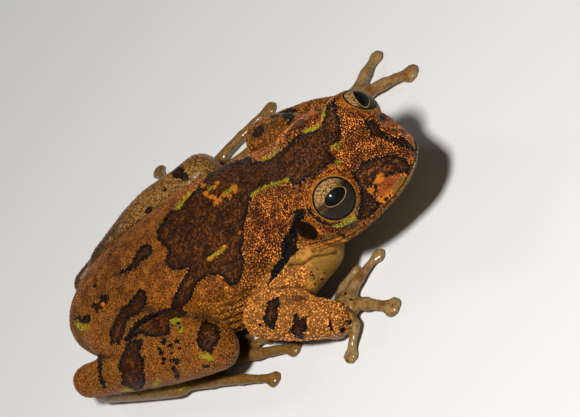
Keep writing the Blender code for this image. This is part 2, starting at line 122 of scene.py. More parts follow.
def line_distance(points: Array, line: Array) -> Array:
    """Distance from each point to a line of straight runs.

    Args:
        points: Points in a plane or in space, one a row.
        line: The line's own points, one a row.

    Returns:
        One distance a point.
    """
    best = np.full(len(points), np.inf)
    for a, b in zip(line[:-1], line[1:]):
        run = b - a
        share = np.clip((points - a) @ run / max(float(run @ run), 1e-12), 0, 1)
        best = np.minimum(best, np.linalg.norm(points - a - share[:, None] * run, axis=1))
    return best


def outline_distance(points: Array, outline: Array) -> Array:
    """Distance from each point to a closed outline in the plane, negative inside it."""
    closed = np.vstack([outline, outline[:1]])
    inside = np.zeros(len(points), bool)
    for (x1, y1), (x2, y2) in zip(closed[:-1], closed[1:]):
        if y1 == y2:
            continue
        crosses = (points[:, 1] < y1) != (points[:, 1] < y2)
        at = x1 + (points[:, 1] - y1) * (x2 - x1) / (y2 - y1)
        inside ^= crosses & (points[:, 0] < at)
    return np.where(inside, -1.0, 1.0) * line_distance(points, closed)


@dataclass(frozen=True)
class PhotoView:
    """The camera that stands where the photograph was taken from, and its frame in pixels."""

    target: tuple[float, float, float] = (1.4, 38.1, 5.0)
    right: tuple[float, float, float] = (0.01735, -0.71466, -0.69926)
    upward: tuple[float, float, float] = (0.79565, -0.41366, 0.44251)
    backward: tuple[float, float, float] = (-0.60550, -0.56404, 0.56145)
    distance: float = 420.0
    pixels_per_mm: float = 8.2
    width: int = 580
    height: int = 417
    sensor: float = 36.0

    def eye(self) -> Array:
        """The camera's place."""
        return place(*self.target) + self.distance * np.array(self.backward)

    def pixels(self, points: Array) -> Array:
        """Where points fall in the photograph's frame, in pixels from its upper left corner."""
        seen = points - place(*self.target)
        scale = self.pixels_per_mm * self.distance / (self.distance - seen @ np.array(self.backward))
        across = self.width / 2 + scale * (seen @ np.array(self.right))
        down = self.height / 2 - scale * (seen @ np.array(self.upward))
        return np.stack([across, down], -1)

    def build(self) -> None:
        """Makes the scene's camera."""
        data = bpy.data.cameras.new("photo_view")
        data.sensor_width = self.sensor
        data.lens = self.pixels_per_mm * self.distance * self.sensor / self.width
        data.clip_start = 0.01
        camera = bpy.data.objects.new("photo_view", data)
        bpy.context.scene.collection.objects.link(camera)
        axes = Matrix((self.right, self.upward, self.backward)).transposed().to_4x4()
        axes.translation = self.eye() * MM
        camera.matrix_world = axes
        bpy.context.scene.camera = camera


VIEW = PhotoView()


@dataclass(frozen=True)
class Section:
    """One upright cross-section of the trunk: its place on the spine and its outline."""

    left: float
    forward: float
    half_width: float
    top: float
    side: float
    bottom: float
    crown: float = 2.0
    keel: float = 2.0

    def row(self) -> tuple[float, ...]:
        """The section's numbers in order."""
        return (
            self.left, self.forward, self.half_width, self.top, self.side, self.bottom, self.crown, self.keel,
        )


@dataclass(frozen=True)
class Head:
    """The head's frame: where it leaves the neck, how it is turned, and where its features lie."""

    yaw: float = math.radians(16)
    neck: tuple[float, float] = (-1.35, 44.95)
    length: float = 18.7
    snout_height: float = 9.4
    eye_radius: float = 2.9
    eye_ahead: float = 10.6
    eye_out: float = 5.45
    eye_height: float = 13.15
    left_gaze: tuple[float, float] = (math.radians(40), math.radians(26))
    right_gaze: tuple[float, float] = (math.radians(40), math.radians(33))
    lid_radius: float = 3.7
    lid_back: float = 0.8

    def place(self, ahead: Array | float, out: Array | float, up: Array | float) -> Array:
        """A point of the head: ahead of the neck, out to the left of its midline, and up."""
        left = self.neck[0] - math.sin(self.yaw) * ahead + math.cos(self.yaw) * out
        forward = self.neck[1] + math.cos(self.yaw) * ahead + math.sin(self.yaw) * out
        return place(left, forward, up)

    def section(self, ahead: float, shift: float, *outline: float) -> Section:
        """A section of the head, ahead of the neck and shifted to the left of its midline."""
        left = self.neck[0] - math.sin(self.yaw) * ahead + math.cos(self.yaw) * shift
        forward = self.neck[1] + math.cos(self.yaw) * ahead + math.sin(self.yaw) * shift
        return Section(left, forward, *outline)

    def gaze(self, side: int) -> Array:
        """The direction in which an eye looks, with side 1 for the left one and -1 for the right."""
        turn, rise = self.left_gaze if side > 0 else self.right_gaze
        level = math.cos(rise)
        tip = self.place(level * math.cos(turn), side * level * math.sin(turn), math.sin(rise))
        return unit(tip - self.place(0, 0, 0))

    def eye(self, side: int) -> Array:
        """An eyeball's centre."""
        return self.place(self.eye_ahead, side * self.eye_out, self.eye_height)


HEAD = Head()


@dataclass(frozen=True)
class Trunk:
    """Torso and head as one loft of sections along the spine, from the rump to the snout."""

    sections: tuple[Section, ...] = (
        Section(2.1, 1.4, 3.2, 7.8, 5.6, 3.2),
        Section(1.9, 3.4, 5.2, 9.1, 5.5, 1.3),
        Section(1.5, 6.4, 6.8, 10.6, 5.3, 0.1, 2.0, 2.2),
        Section(1.1, 11.0, 7.9, 12.0, 5.2, -0.25, 2.0, 2.3),
        Section(0.6, 17.0, 9.3, 12.9, 5.3, -0.3, 2.0, 2.4),
        Section(0.0, 24.0, 10.8, 13.2, 5.5, -0.3, 2.1, 2.4),
        Section(-0.5, 31.0, 11.3, 12.9, 5.8, -0.2, 2.1, 2.3),
        Section(-0.8, 37.0, 10.4, 12.6, 6.4, 0.5, 2.1, 2.2),
        Section(-0.9, 42.0, 9.5, 12.8, 7.4, 2.2, 2.1, 2.1),
        HEAD.section(0.0, 0.9, 9.3, 13.5, 8.4, 3.9, 2.3, 2.3),
        HEAD.section(4.0, 0.8, 9.1, 14.2, 8.2, 4.8, 2.8, 2.3),
        HEAD.section(6.5, 0.5, 8.7, 14.7, 8.0, 5.3, 3.1, 2.3),
        HEAD.section(9.2, 0.3, 7.9, 14.9, 8.0, 5.8, 3.1, 2.2),
        HEAD.section(11.8, 0.1, 6.8, 14.3, 8.2, 6.3, 2.8, 2.1),
        HEAD.section(14.1, 0.0, 5.3, 13.2, 8.5, 6.9, 2.5, 2.0),
        HEAD.section(15.9, 0.0, 4.2, 12.2, 8.8, 7.4, 2.4, 2.0),
        HEAD.section(17.2, 0.0, 3.0, 11.5, 9.0, 7.9, 2.4, 2.0),
        HEAD.section(18.1, 0.0, 1.8, 10.8, 9.2, 8.5, 2.2, 2.0),
    )
    neck_section: int = 9
    rump_height: float = 5.4
    heading_reach: float = 0.9
    rump_dome: float = 1.0
    behind_neck: float = 2.0
    halvings: int = 40
    chart_steps: int = 340
    sides: int = 96
    rows: int = 150

    def table(self) -> Array:
        """The sections as rows of numbers."""
        return np.array([s.row() for s in self.sections])

    def heading(self, t: Array | float) -> tuple[Array, Array]:
        """The direction in which the spine runs at t, told as left and forward."""
        last = len(self.sections) - 1
        a = between(self.table()[:, :2], np.maximum(np.asarray(t) - self.heading_reach, 0))
        b = between(self.table()[:, :2], np.minimum(np.asarray(t) + self.heading_reach, last))
        run = unit(b - a)
        return run[..., 0], run[..., 1]

    def point(self, t: Array | float, degrees: Array | float) -> Array:
        """Points on the trunk.

        Args:
            t: Where along the spine, counted in sections from the rump.
            degrees: Angle from the midline of the back, positive to the left.

        Returns:
            Points in millimetres.
        """
        t, degrees = np.broadcast_arrays(np.asarray(t, float), np.asarray(degrees, float))
        left, forward, half, top, side, bottom, crown, keel = np.moveaxis(between(self.table(), t), -1, 0)
        sine, cosine = np.sin(np.radians(degrees)), np.cos(np.radians(degrees))
        power = 2 / np.where(cosine >= 0, crown, keel)
        rise = np.where(cosine >= 0, top - side, side - bottom)
        out = half * np.sign(sine) * np.abs(sine) ** power
        up = side + rise * np.sign(cosine) * np.abs(cosine) ** power
        ahead_left, ahead_forward = self.heading(t)
        return place(left + out * ahead_forward, forward - out * ahead_left, up)

    def head_t(self, ahead: float) -> float:
        """The spine's t at a distance ahead of the neck."""
        low, high = self.neck_section - self.behind_neck, len(self.sections) - 1.0
        for _ in range(self.halvings):
            middle = (low + high) / 2
            left, forward = between(self.table()[:, :2], middle)
            reach = (forward - HEAD.neck[1]) * math.cos(HEAD.yaw) - (left - HEAD.neck[0]) * math.sin(HEAD.yaw)
            low, high = (middle, high) if reach < ahead else (low, middle)
        return low

    def face(self, ahead: float, degrees: float) -> Array:
        """A point on the head's surface, ahead of the neck and degrees from its midline."""
        return self.point(self.head_t(ahead), degrees)

    def chart(self, points: Array) -> tuple[Array, Array]:
        """Tells where points lie on the trunk.

        Args:
            points: Points in millimetres.

        Returns:
            Each point's t along the spine and its angle in degrees from the midline of the back.
        """
        counts = np.linspace(0, len(self.sections) - 1, self.chart_steps)
        spine = between(self.table()[:, :2], counts)
        ahead_left, ahead_forward = self.heading(counts)
        left, forward = points[:, 0] + ORIGIN_LEFT, ORIGIN_FORWARD - points[:, 1]
        off_left, off_forward = left[:, None] - spine[:, 0], forward[:, None] - spine[:, 1]
        along = off_left * ahead_left + off_forward * ahead_forward
        nearest = np.argmin(np.abs(along), axis=1)
        t = counts[nearest]
        row = np.arange(len(points))
        out = off_left[row, nearest] * ahead_forward[nearest]
        out -= off_forward[row, nearest] * ahead_left[nearest]
        half, top, side, bottom = between(self.table()[:, 2:6], t).T
        rise = np.where(points[:, 2] >= side, top - side, side - bottom)
        degrees = np.degrees(np.arctan2(out / half, (points[:, 2] - side) / rise))
        return t, degrees

    def twins(self, points: Array) -> Array:
        """The mirrored places of points on the trunk's other side."""
        t, degrees = self.chart(points)
        ahead_left, ahead_forward = self.heading(t)
        across = np.stack([ahead_forward, ahead_left, np.zeros(len(t))], -1)
        off = points - self.point(t, degrees)
        off -= 2 * (off * across).sum(-1, keepdims=True) * across
        return self.point(t, -degrees) + off

    def rings(self) -> tuple[Array, Array, Array]:
        """The trunk's rings of points, and its end points at the rump and the snout."""
        last = len(self.sections) - 1
        counts = np.linspace(0, last, self.rows)
        angles = np.arange(self.sides) * 360 / self.sides
        rings = self.point(counts[:, None], angles[None, :])
        first = self.sections[0]
        rump = place(first.left, first.forward - self.rump_dome, self.rump_height)
        return rings, rump, HEAD.place(HEAD.length, 0, HEAD.snout_height)


TRUNK = Trunk()


@dataclass(frozen=True)
class Limb:
    """A stretch of a limb: a tube through places, with its half width and half height at each."""

    path: tuple[tuple[float, float, float], ...]
    widths: tuple[float, ...]
    heights: tuple[float, ...]
    sides: int = 28
    steps: int = 8
    dome_degrees: tuple[int, ...] = (15, 30, 45, 60, 75)

    def samples(self) -> tuple[Array, Array, Array]:
        """The tube's centres, half widths and half heights along its path."""
        t = np.linspace(0, len(self.path) - 1, (len(self.path) - 1) * self.steps + 1)
        centres = between(place(*np.array(self.path).T), t)
        return centres, between(self.widths, t), between(self.heights, t)

    def rings(self) -> tuple[Array, Array, Array]:
        """The tube's rings of points with domed ends, and its two end points."""
        centres, wide, high = self.samples()
        first, final = unit(centres[1] - centres[0]), unit(centres[-1] - centres[-2])
        rings = self.dome(centres[0], -1, first, wide[0], high[0])[::-1]
        for i, centre in enumerate(centres):
            along = centres[min(i + 1, len(centres) - 1)] - centres[max(i - 1, 0)]
            rings.append(self.ring(centre, along, wide[i], high[i]))
        rings += self.dome(centres[-1], 1, final, wide[-1], high[-1])
        return np.array(rings), centres[0] - first * wide[0], centres[-1] + final * wide[-1]

    def dome(self, end: Array, way: int, along: Array, wide: float, high: float) -> list[Array]:
        """The rings that round off an end, from the tube outwards, with way -1 at its start."""
        rings = []
        for degrees in self.dome_degrees:
            c, s = math.cos(math.radians(degrees)), math.sin(math.radians(degrees))
            rings.append(self.ring(end + way * along * wide * s, along, wide * c, high * c))
        return rings

    def ring(self, centre: Array, along: Array, wide: float, high: float) -> Array:
        """One ring of the tube."""
        across = unit(np.cross(along, (0, 0, 1)))
        upward = unit(np.cross(across, along))
        angles = np.arange(self.sides)[:, None] * 2 * math.pi / self.sides
        return centre + across * wide * np.cos(angles) + upward * high * np.sin(angles)

    def chart(self, points: Array) -> tuple[Array, Array]:
        """How far points lie outside the tube, and where along it, counted in its samples."""
        centres, wide, high = self.samples()
        radii = (wide + high) / 2
        best, at = np.full(len(points), np.inf), np.zeros(len(points))
        for i in range(len(centres) - 1):
            run = centres[i + 1] - centres[i]
            share = np.clip((points - centres[i]) @ run / (run @ run), 0, 1)
            off = np.linalg.norm(points - centres[i] - share[:, None] * run, axis=1)
            off -= radii[i] + (radii[i + 1] - radii[i]) * share
            nearer = off < best
            best[nearer] = off[nearer]
            at[nearer] = i + share[nearer]
        return best, at

    def frames(self, at: Array) -> tuple[Array, Array, Array]:
        """The middle line's points, its axes along, across and up, and the radii at some samples."""
        centres, wide, high = self.samples()
        i = np.clip(at.astype(int), 0, len(centres) - 2)
        share = at - i
        run = centres[i + 1] - centres[i]
        along = unit(run)
        across = unit(np.cross(along, (0, 0, 1)))
        radii = (wide + high) / 2
        axes = np.stack([along, across, np.cross(across, along)], 1)
        return centres[i] + run * share[:, None], axes, radii[i] + (radii[i + 1] - radii[i]) * share

    def twins(self, points: Array, other: "Limb") -> Array:
        """The mirrored places of points on the same limb of the other side."""
        at = self.chart(points)[1]
        middle, axes, radius = self.frames(at)
        local = np.einsum("nij,nj->ni", axes, points - middle) / radius[:, None]
        local[:, 1] *= -1
        middle, axes, radius = other.frames(at)
        return middle + np.einsum("nij,ni->nj", axes, local) * radius[:, None]


class Clay:
    """Closed forms that are pressed together and drawn into one skin."""

    BALL_SIDES = 28
    BALL_ROWS = 18

    def __init__(self) -> None:
        """Starts with nothing on the bench."""
        self.points: list[Array] = []
        self.faces: list[tuple[int, ...]] = []
        self.count = 0

    def press(self, points: Array, faces: list[tuple[int, ...]]) -> None:
        """Adds one closed form."""
        self.faces += [tuple(self.count + i for i in face) for face in faces]
        self.points.append(points)
        self.count += len(points)

    def loft(self, rings: Array, start: Array, end: Array) -> None:
        """Adds a surface through rings of points, drawn in to one point at each end."""
        rows, sides = rings.shape[:2]
        faces: list[tuple[int, ...]] = []
        for r in range(rows - 1):
            for i in range(sides):
                j = (i + 1) % sides
                faces.append((r * sides + i, r * sides + j, (r + 1) * sides + j, (r + 1) * sides + i))
        tail, nose = rows * sides, rows * sides + 1
        for i in range(sides):
            j = (i + 1) % sides
            faces.append((j, i, tail))
            faces.append(((rows - 1) * sides + i, (rows - 1) * sides + j, nose))
        self.press(np.vstack([rings.reshape(-1, 3), start, end]), faces)

    def ball(self, centre: Array, radii: Array | tuple, along: Array | tuple) -> None:
        """Adds an ellipsoid whose first radius lies along a direction and whose third is upright."""
        ahead = unit(np.asarray(along, float))
        across = unit(np.cross((0, 0, 1), ahead))
        upward = np.cross(ahead, across)
        bm = bmesh.new()
        bmesh.ops.create_uvsphere(bm, u_segments=self.BALL_SIDES, v_segments=self.BALL_ROWS, radius=1.0)
        round_points = np.array([v.co for v in bm.verts]) * radii
        faces = [tuple(v.index for v in face.verts) for face in bm.faces]
        bm.free()
        self.press(centre + round_points @ np.array([ahead, across, upward]), faces)

    def sheet(self, outline: Array, low: float, high: float) -> None:
        """Adds a thin flat sheet over an outline on the floor, between two heights."""
        count = len(outline)
        points = np.vstack([
            np.column_stack([outline, np.full(count, low)]),
            np.column_stack([outline, np.full(count, high)]),
        ])
        faces: list[tuple[int, ...]] = []
        for i in range(1, count - 1):
            faces.append((0, i, i + 1))
            faces.append((count, count + i + 1, count + i))
        for i in range(count):
            j = (i + 1) % count
            faces.append((i, count + i, count + j, j))
        self.press(points, faces)

    def fused(self, voxel: float) -> bpy.types.Mesh:
        """Draws one closed skin round all the forms.

        Args:
            voxel: Size of the grid on which the forms are joined.

        Returns:
            A mesh in millimetres.
        """
        mesh = bpy.data.meshes.new("clay")
        mesh.from_pydata(np.vstack(self.points).tolist(), [], self.faces)
        bm = bmesh.new()
        bm.from_mesh(mesh)
        bmesh.ops.recalc_face_normals(bm, faces=bm.faces)
        bm.to_mesh(mesh)
        bm.free()
        lump = bpy.data.objects.new("clay", mesh)
        bpy.context.scene.collection.objects.link(lump)
        remesh = lump.modifiers.new("remesh", "REMESH")
        remesh.mode = "VOXEL"
        remesh.voxel_size = voxel
        graph = bpy.context.evaluated_depsgraph_get()
        fused = bpy.data.meshes.new_from_object(lump.evaluated_get(graph))
        bpy.data.objects.remove(lump)
        return fused


class Part(Enum):
    """The stretches of the body that the skin covers."""

    TRUNK = "trunk"
    UPPER_ARM = "upper_arm"
    FOREARM = "forearm"
    HAND = "hand"
    THIGH = "thigh"
    SHANK = "shank"
    FOOT = "foot"


Place = tuple[float, float, float]


def blend(a: Place, b: Place, share: float) -> Place:
    """A place part of the way from a to b."""
    return tuple(x + (y - x) * share for x, y in zip(a, b))


def moved(p: Place, left: float = 0.0, forward: float = 0.0, up: float = 0.0) -> Place:
    """A place moved by some millimetres."""
    return (p[0] + left, p[1] + forward, p[2] + up)


@dataclass(frozen=True)
class Digits:
    """The sizes of a hand's fingers or a foot's toes, from the innermost to the outermost."""

    widths: tuple[float, ...]
    discs: tuple[float, ...]
    web: float
    knuckles: tuple[float, ...]
    root_width: float = 1.14
    taper: float = 0.28
    flatness: float = 0.82
    tip_flatness: float = 0.66
    knuckle_swell: tuple[float, float, float] = (1.25, 1.2, 1.12)
    disc_ahead: float = 0.35
    disc_length: float = 0.92
    disc_rise: float = 0.42
    disc_height: float = 0.62
    web_low: float = 0.15
    web_high: float = 0.62
    web_dip: float = 0.55
    web_marks: int = 7
    dip_marks: int = 9

    def digit(self, path: tuple[Place, ...], i: int, clay: Clay) -> Limb:
        """Presses one digit with its knuckles and end disc into the clay, and returns its tube."""
        width, disc = self.widths[i], self.discs[i]
        steps = len(path) - 1
        widths = tuple(width * (self.root_width - self.taper * k / steps) for k in range(len(path)))
        heights = tuple(self.flatness * w for w in widths[:-1]) + (self.tip_flatness * widths[-1],)
        tube = Limb(path, widths, heights, sides=16, steps=6)
        clay.loft(*tube.rings())
        centres, wide, high = tube.samples()
        for share in self.knuckles:
            k = round(share * (len(centres) - 1))
            along = centres[min(k + 1, len(centres) - 1)] - centres[k - 1]
            clay.ball(centres[k], np.array((wide[k], wide[k], high[k])) * self.knuckle_swell, along)
        along = (centres[-1] - centres[-2]) * (1, 1, 0)
        pad = centres[-1] + unit(along) * disc * self.disc_ahead
        pad[2] = self.disc_rise
        clay.ball(pad, (disc * self.disc_length, disc, self.disc_height), along)
        return tube

    def web_between(self, base: Array, first: Limb, second: Limb, clay: Clay) -> None:
        """Presses the thin skin between two neighbouring digits into the clay."""
        shares = np.linspace(0, self.web, self.web_marks)[1:]
        edges = []
        for tube in (first, second):
            centres = tube.samples()[0][:, :2]
            edges.append(between(centres, shares * (len(centres) - 1)))
        a, b = edges[0][-1], edges[1][-1]
        dip = self.web_dip * (a + b) / 2 + (1 - self.web_dip) * base
        u = np.linspace(0, 1, self.dip_marks)[1:-1, None]
        hollow = (1 - u) ** 2 * a + 2 * u * (1 - u) * dip + u**2 * b
        clay.sheet(np.vstack([base[None], edges[0], hollow, edges[1][::-1]]), self.web_low, self.web_high)


FINGERS = Digits((0.66, 0.74, 0.86, 0.8), (0.9, 1.12, 1.4, 1.2), 0.34, (0.5,))
TOES = Digits((0.6, 0.66, 0.74, 0.84, 0.78), (0.8, 0.92, 1.08, 1.28, 1.16), 0.5, (0.36, 0.68))
HALF_SIZES: dict[Part, tuple[tuple[float, ...], tuple[float, ...]]] = {
    Part.UPPER_ARM: ((3.2, 3.0, 2.6), (3.2, 3.0, 2.6)),
    Part.FOREARM: ((2.6, 2.7, 2.6, 2.2), (2.6, 2.7, 2.5, 2.1)),
    Part.HAND: ((1.9, 2.1), (1.5, 1.3)),
    Part.THIGH: ((3.8, 4.0, 3.4, 2.9), (3.9, 4.1, 3.5, 3.0)),
    Part.SHANK: ((2.9, 3.1, 2.5, 2.2), (2.9, 3.1, 2.5, 2.2)),
    Part.FOOT: ((1.9, 1.8, 1.9), (1.6, 1.4, 1.2)),
}


@dataclass(frozen=True)
class Side:
    """One side's limbs, each place told as left, forward and up, with the side's sign for left."""

    sign: int
    shoulder: Place
    elbow: Place
    wrist: Place
    palm: Place
    fingers: tuple[tuple[Place, ...], ...]
    hip: Place
    knee: Place
    heel: Place
    sole: Place
    toes: tuple[tuple[Place, ...], ...]
    palm_start: tuple[float, float] = (-0.4, 1.7)
    sole_start: tuple[float, float] = (0.4, 2.2)
    sole_middle: float = 1.6

    def paths(self) -> dict[Part, tuple[Place, ...]]:
        """The places that the tube of each stretch of the limbs runs through."""
        arm = moved(blend(self.shoulder, self.elbow, 0.5), left=self.sign * 0.5, up=0.2)
        near, far = (blend(self.elbow, self.wrist, share) for share in (0.35, 0.75))
        calf, ankle = (blend(self.knee, self.heel, share) for share in (0.35, 0.78))
        lap, thigh = (blend(self.hip, self.knee, share) for share in (0.5, 0.8))
        (back, low), (ahead, high) = self.palm_start, self.sole_start
        return {
            Part.UPPER_ARM: (self.shoulder, arm, self.elbow),
            Part.FOREARM: (self.elbow, moved(near, up=-0.1), far, self.wrist),
            Part.HAND: ((self.wrist[0], self.wrist[1] + back, low), self.palm),
            Part.THIGH: (self.hip, moved(lap, up=0.4), thigh, self.knee),
            Part.SHANK: (self.knee, moved(calf, up=0.1), ankle, self.heel),
            Part.FOOT: (
                (self.heel[0], self.heel[1] + ahead, high),
                (*blend(self.heel, self.sole, 0.5)[:2], self.sole_middle),
                self.sole,
            ),
        }

    def press(self, clay: Clay) -> dict[Part, list[Limb]]:
        """Presses the side's limbs into the clay.

        Args:
            clay: The clay that they join.

        Returns:
            The tubes of each stretch of the limbs.
        """
        stretches = {part: [Limb(path, *HALF_SIZES[part])] for part, path in self.paths().items()}
        for tubes in stretches.values():
            clay.loft(*tubes[0].rings())
        for part, digits, base, paths in (
            (Part.HAND, FINGERS, self.palm, self.fingers),
            (Part.FOOT, TOES, self.sole, self.toes),
        ):
            tubes = [digits.digit(path, i, clay) for i, path in enumerate(paths)]
            root = place(*base)[:2]
            for first, second in zip(tubes, tubes[1:]):
                digits.web_between(root, first, second, clay)
            stretches[part] += tubes
        return stretches


RIGHT = Side(
    sign=-1,
    shoulder=(-8.8, 44.4, 6.4),
    elbow=(-13.0, 34.2, 5.0),
    wrist=(-16.8, 43.6, 3.1),
    palm=(-14.2, 44.0, 1.4),
    fingers=(
        ((-12.9, 42.6, 1.1), (-10.9, 43.2, 0.9), (-9.1, 44.7, 0.7)),
        ((-13.2, 44.2, 1.2), (-11.2, 46.0, 1.1), (-8.8, 48.3, 0.7)),
        ((-14.0, 44.4, 1.4), (-15.5, 47.4, 1.3), (-17.0, 50.4, 0.7)),
        ((-15.0, 43.8, 1.4), (-17.6, 45.6, 1.3), (-20.6, 44.4, 0.7)),
    ),
    hip=(-3.6, 9.0, 6.6),
    knee=(-14.8, 27.2, 6.3),
    heel=(-7.6, 3.0, 4.9),
    sole=(-12.4, 16.2, 1.5),
    toes=(
        ((-11.6, 16.6, 1.2), (-10.2, 20.0, 1.0), (-9.2, 22.8, 0.7)),
        ((-11.9, 17.0, 1.2), (-10.8, 22.0, 1.0), (-10.2, 26.6, 0.7)),
        ((-12.2, 17.4, 1.2), (-11.8, 24.0, 1.0), (-11.9, 30.4, 0.7)),
        ((-12.6, 17.4, 1.3), (-13.2, 26.0, 1.2), (-15.3, 34.3, 0.7)),
        ((-13.0, 17.0, 1.3), (-15.4, 24.0, 1.1), (-18.2, 31.0, 0.7)),
    ),
)

LEFT = Side(
    sign=1,
    shoulder=(8.0, 43.4, 6.4),
    elbow=(14.6, 33.6, 5.0),
    wrist=(14.6, 43.4, 3.1),
    palm=(16.4, 45.6, 1.4),
    fingers=(
        ((15.4, 44.8, 1.2), (13.4, 45.0, 1.0), (11.6, 45.7, 0.7)),
        ((15.8, 45.8, 1.2), (13.9, 47.6, 1.1), (12.0, 48.9, 0.7)),
        ((16.6, 46.2, 1.4), (16.6, 50.0, 1.2), (16.6, 53.4, 0.7)),
        ((17.4, 45.6, 1.4), (20.0, 47.0, 1.2), (22.0, 47.9, 0.7)),
    ),
    hip=(6.2, 9.0, 6.6),
    knee=(14.3, 22.6, 5.5),
    heel=(8.2, 1.8, 4.8),
    sole=(15.8, 12.0, 1.5),
    toes=(
        ((15.2, 12.6, 1.2), (14.6, 16.4, 1.0), (14.4, 19.4, 0.7)),
        ((15.6, 13.0, 1.2), (16.0, 18.4, 1.0), (16.2, 23.0, 0.7)),
        ((16.0, 13.2, 1.2), (18.0, 20.0, 1.0), (19.6, 26.6, 0.7)),
        ((16.4, 13.2, 1.3), (20.8, 22.4, 1.2), (24.2, 29.0, 0.7)),
        ((16.8, 12.4, 1.3), (21.2, 11.4, 1.1), (24.8, 9.2, 0.7)),
    ),
)


class Mould:
    """The skin as it is worked: points and triangles, with measures told for every point."""

    EVENING_STEPS = (0.5, -0.52)
    SOFTENING_STEP = 0.5

    def __init__(self, mesh: bpy.types.Mesh) -> None:
        """Takes over a mesh in millimetres."""
        self.mesh = mesh
        self.read()

    def read(self) -> None:
        """Reads points, edges and triangles from the mesh, after cutting its faces into triangles."""
        bm = bmesh.new()
        bm.from_mesh(self.mesh)
        bmesh.ops.triangulate(bm, faces=bm.faces)
        bm.to_mesh(self.mesh)
        bm.free()
        mesh = self.mesh
        self.points = np.empty((len(mesh.vertices), 3))
        mesh.vertices.foreach_get("co", self.points.ravel())
        self.edges = np.empty((len(mesh.edges), 2), int)
        mesh.edges.foreach_get("vertices", self.edges.ravel())
        self.faces = np.empty((len(mesh.polygons), 3), int)
        mesh.polygons.foreach_get("vertices", self.faces.ravel())

    def write(self) -> None:
        """Puts the points back in the mesh."""
        self.mesh.vertices.foreach_set("co", self.points.ravel())
        self.mesh.update()

    def refine(self, chosen: Array) -> None:
        """Cuts the edges between chosen points in two, for finer detail there."""
        self.write()
        bm = bmesh.new()
        bm.from_mesh(self.mesh)
        edges = [edge for edge in bm.edges if all(chosen[v.index] for v in edge.verts)]
        bmesh.ops.subdivide_edges(bm, edges=edges, cuts=1, use_grid_fill=True)
        bm.to_mesh(self.mesh)
        bm.free()
        self.read()

    def mean_of_neighbours(self, values: Array) -> Array:
        """Each point's neighbours' mean of some values, one column at a time."""
        a, b = self.edges.T
        count = np.maximum(np.bincount(a, minlength=len(values)) + np.bincount(b, minlength=len(values)), 1)
        columns = [
            np.bincount(a, values[b, k], len(values)) + np.bincount(b, values[a, k], len(values))
            for k in range(values.shape[1])
        ]
        return np.stack(columns, -1) / count[:, None]

    def relax(self, rounds: int) -> None:
        """Evens the surface out without shrinking it."""
        for _ in range(rounds):
            for step in self.EVENING_STEPS:
                self.points += step * (self.mean_of_neighbours(self.points) - self.points)

    def soften(self, rounds: int, strength: Array) -> None:
        """Fills creases and rounds edges, more where strength is higher."""
        step = self.SOFTENING_STEP * strength[:, None]
        for _ in range(rounds):
            self.points += step * (self.mean_of_neighbours(self.points) - self.points)

    def normals(self) -> Array:
        """The outward direction at every point."""
        a, b, c = (self.points[self.faces[:, k]] for k in range(3))
        across = np.cross(b - a, c - a)
        total = np.zeros_like(self.points)
        for k in range(3):
            for axis in range(3):
                total[:, axis] += np.bincount(self.faces[:, k], across[:, axis], len(total))
        return unit(total)


@dataclass(frozen=True)
class Crease:
    """A ridge, or a groove where height is below 0, along a line in space near the skin."""

    line: Array
    width: float
    height: float
    reach: float = 30.0

    def push(self, points: Array) -> Array:
        """How far the skin at each point is moved outwards."""
        near = apart(points, self.line.mean(0)) < self.reach
        push = np.zeros(len(points))
        push[near] = bell(line_distance(points[near], self.line), self.height, self.width)
        return push


REGIONS: tuple[tuple[Part, int], ...] = (
    (Part.TRUNK, 0),
    *((part, sign) for part in Part if part is not Part.TRUNK for sign in (-1, 1)),
)


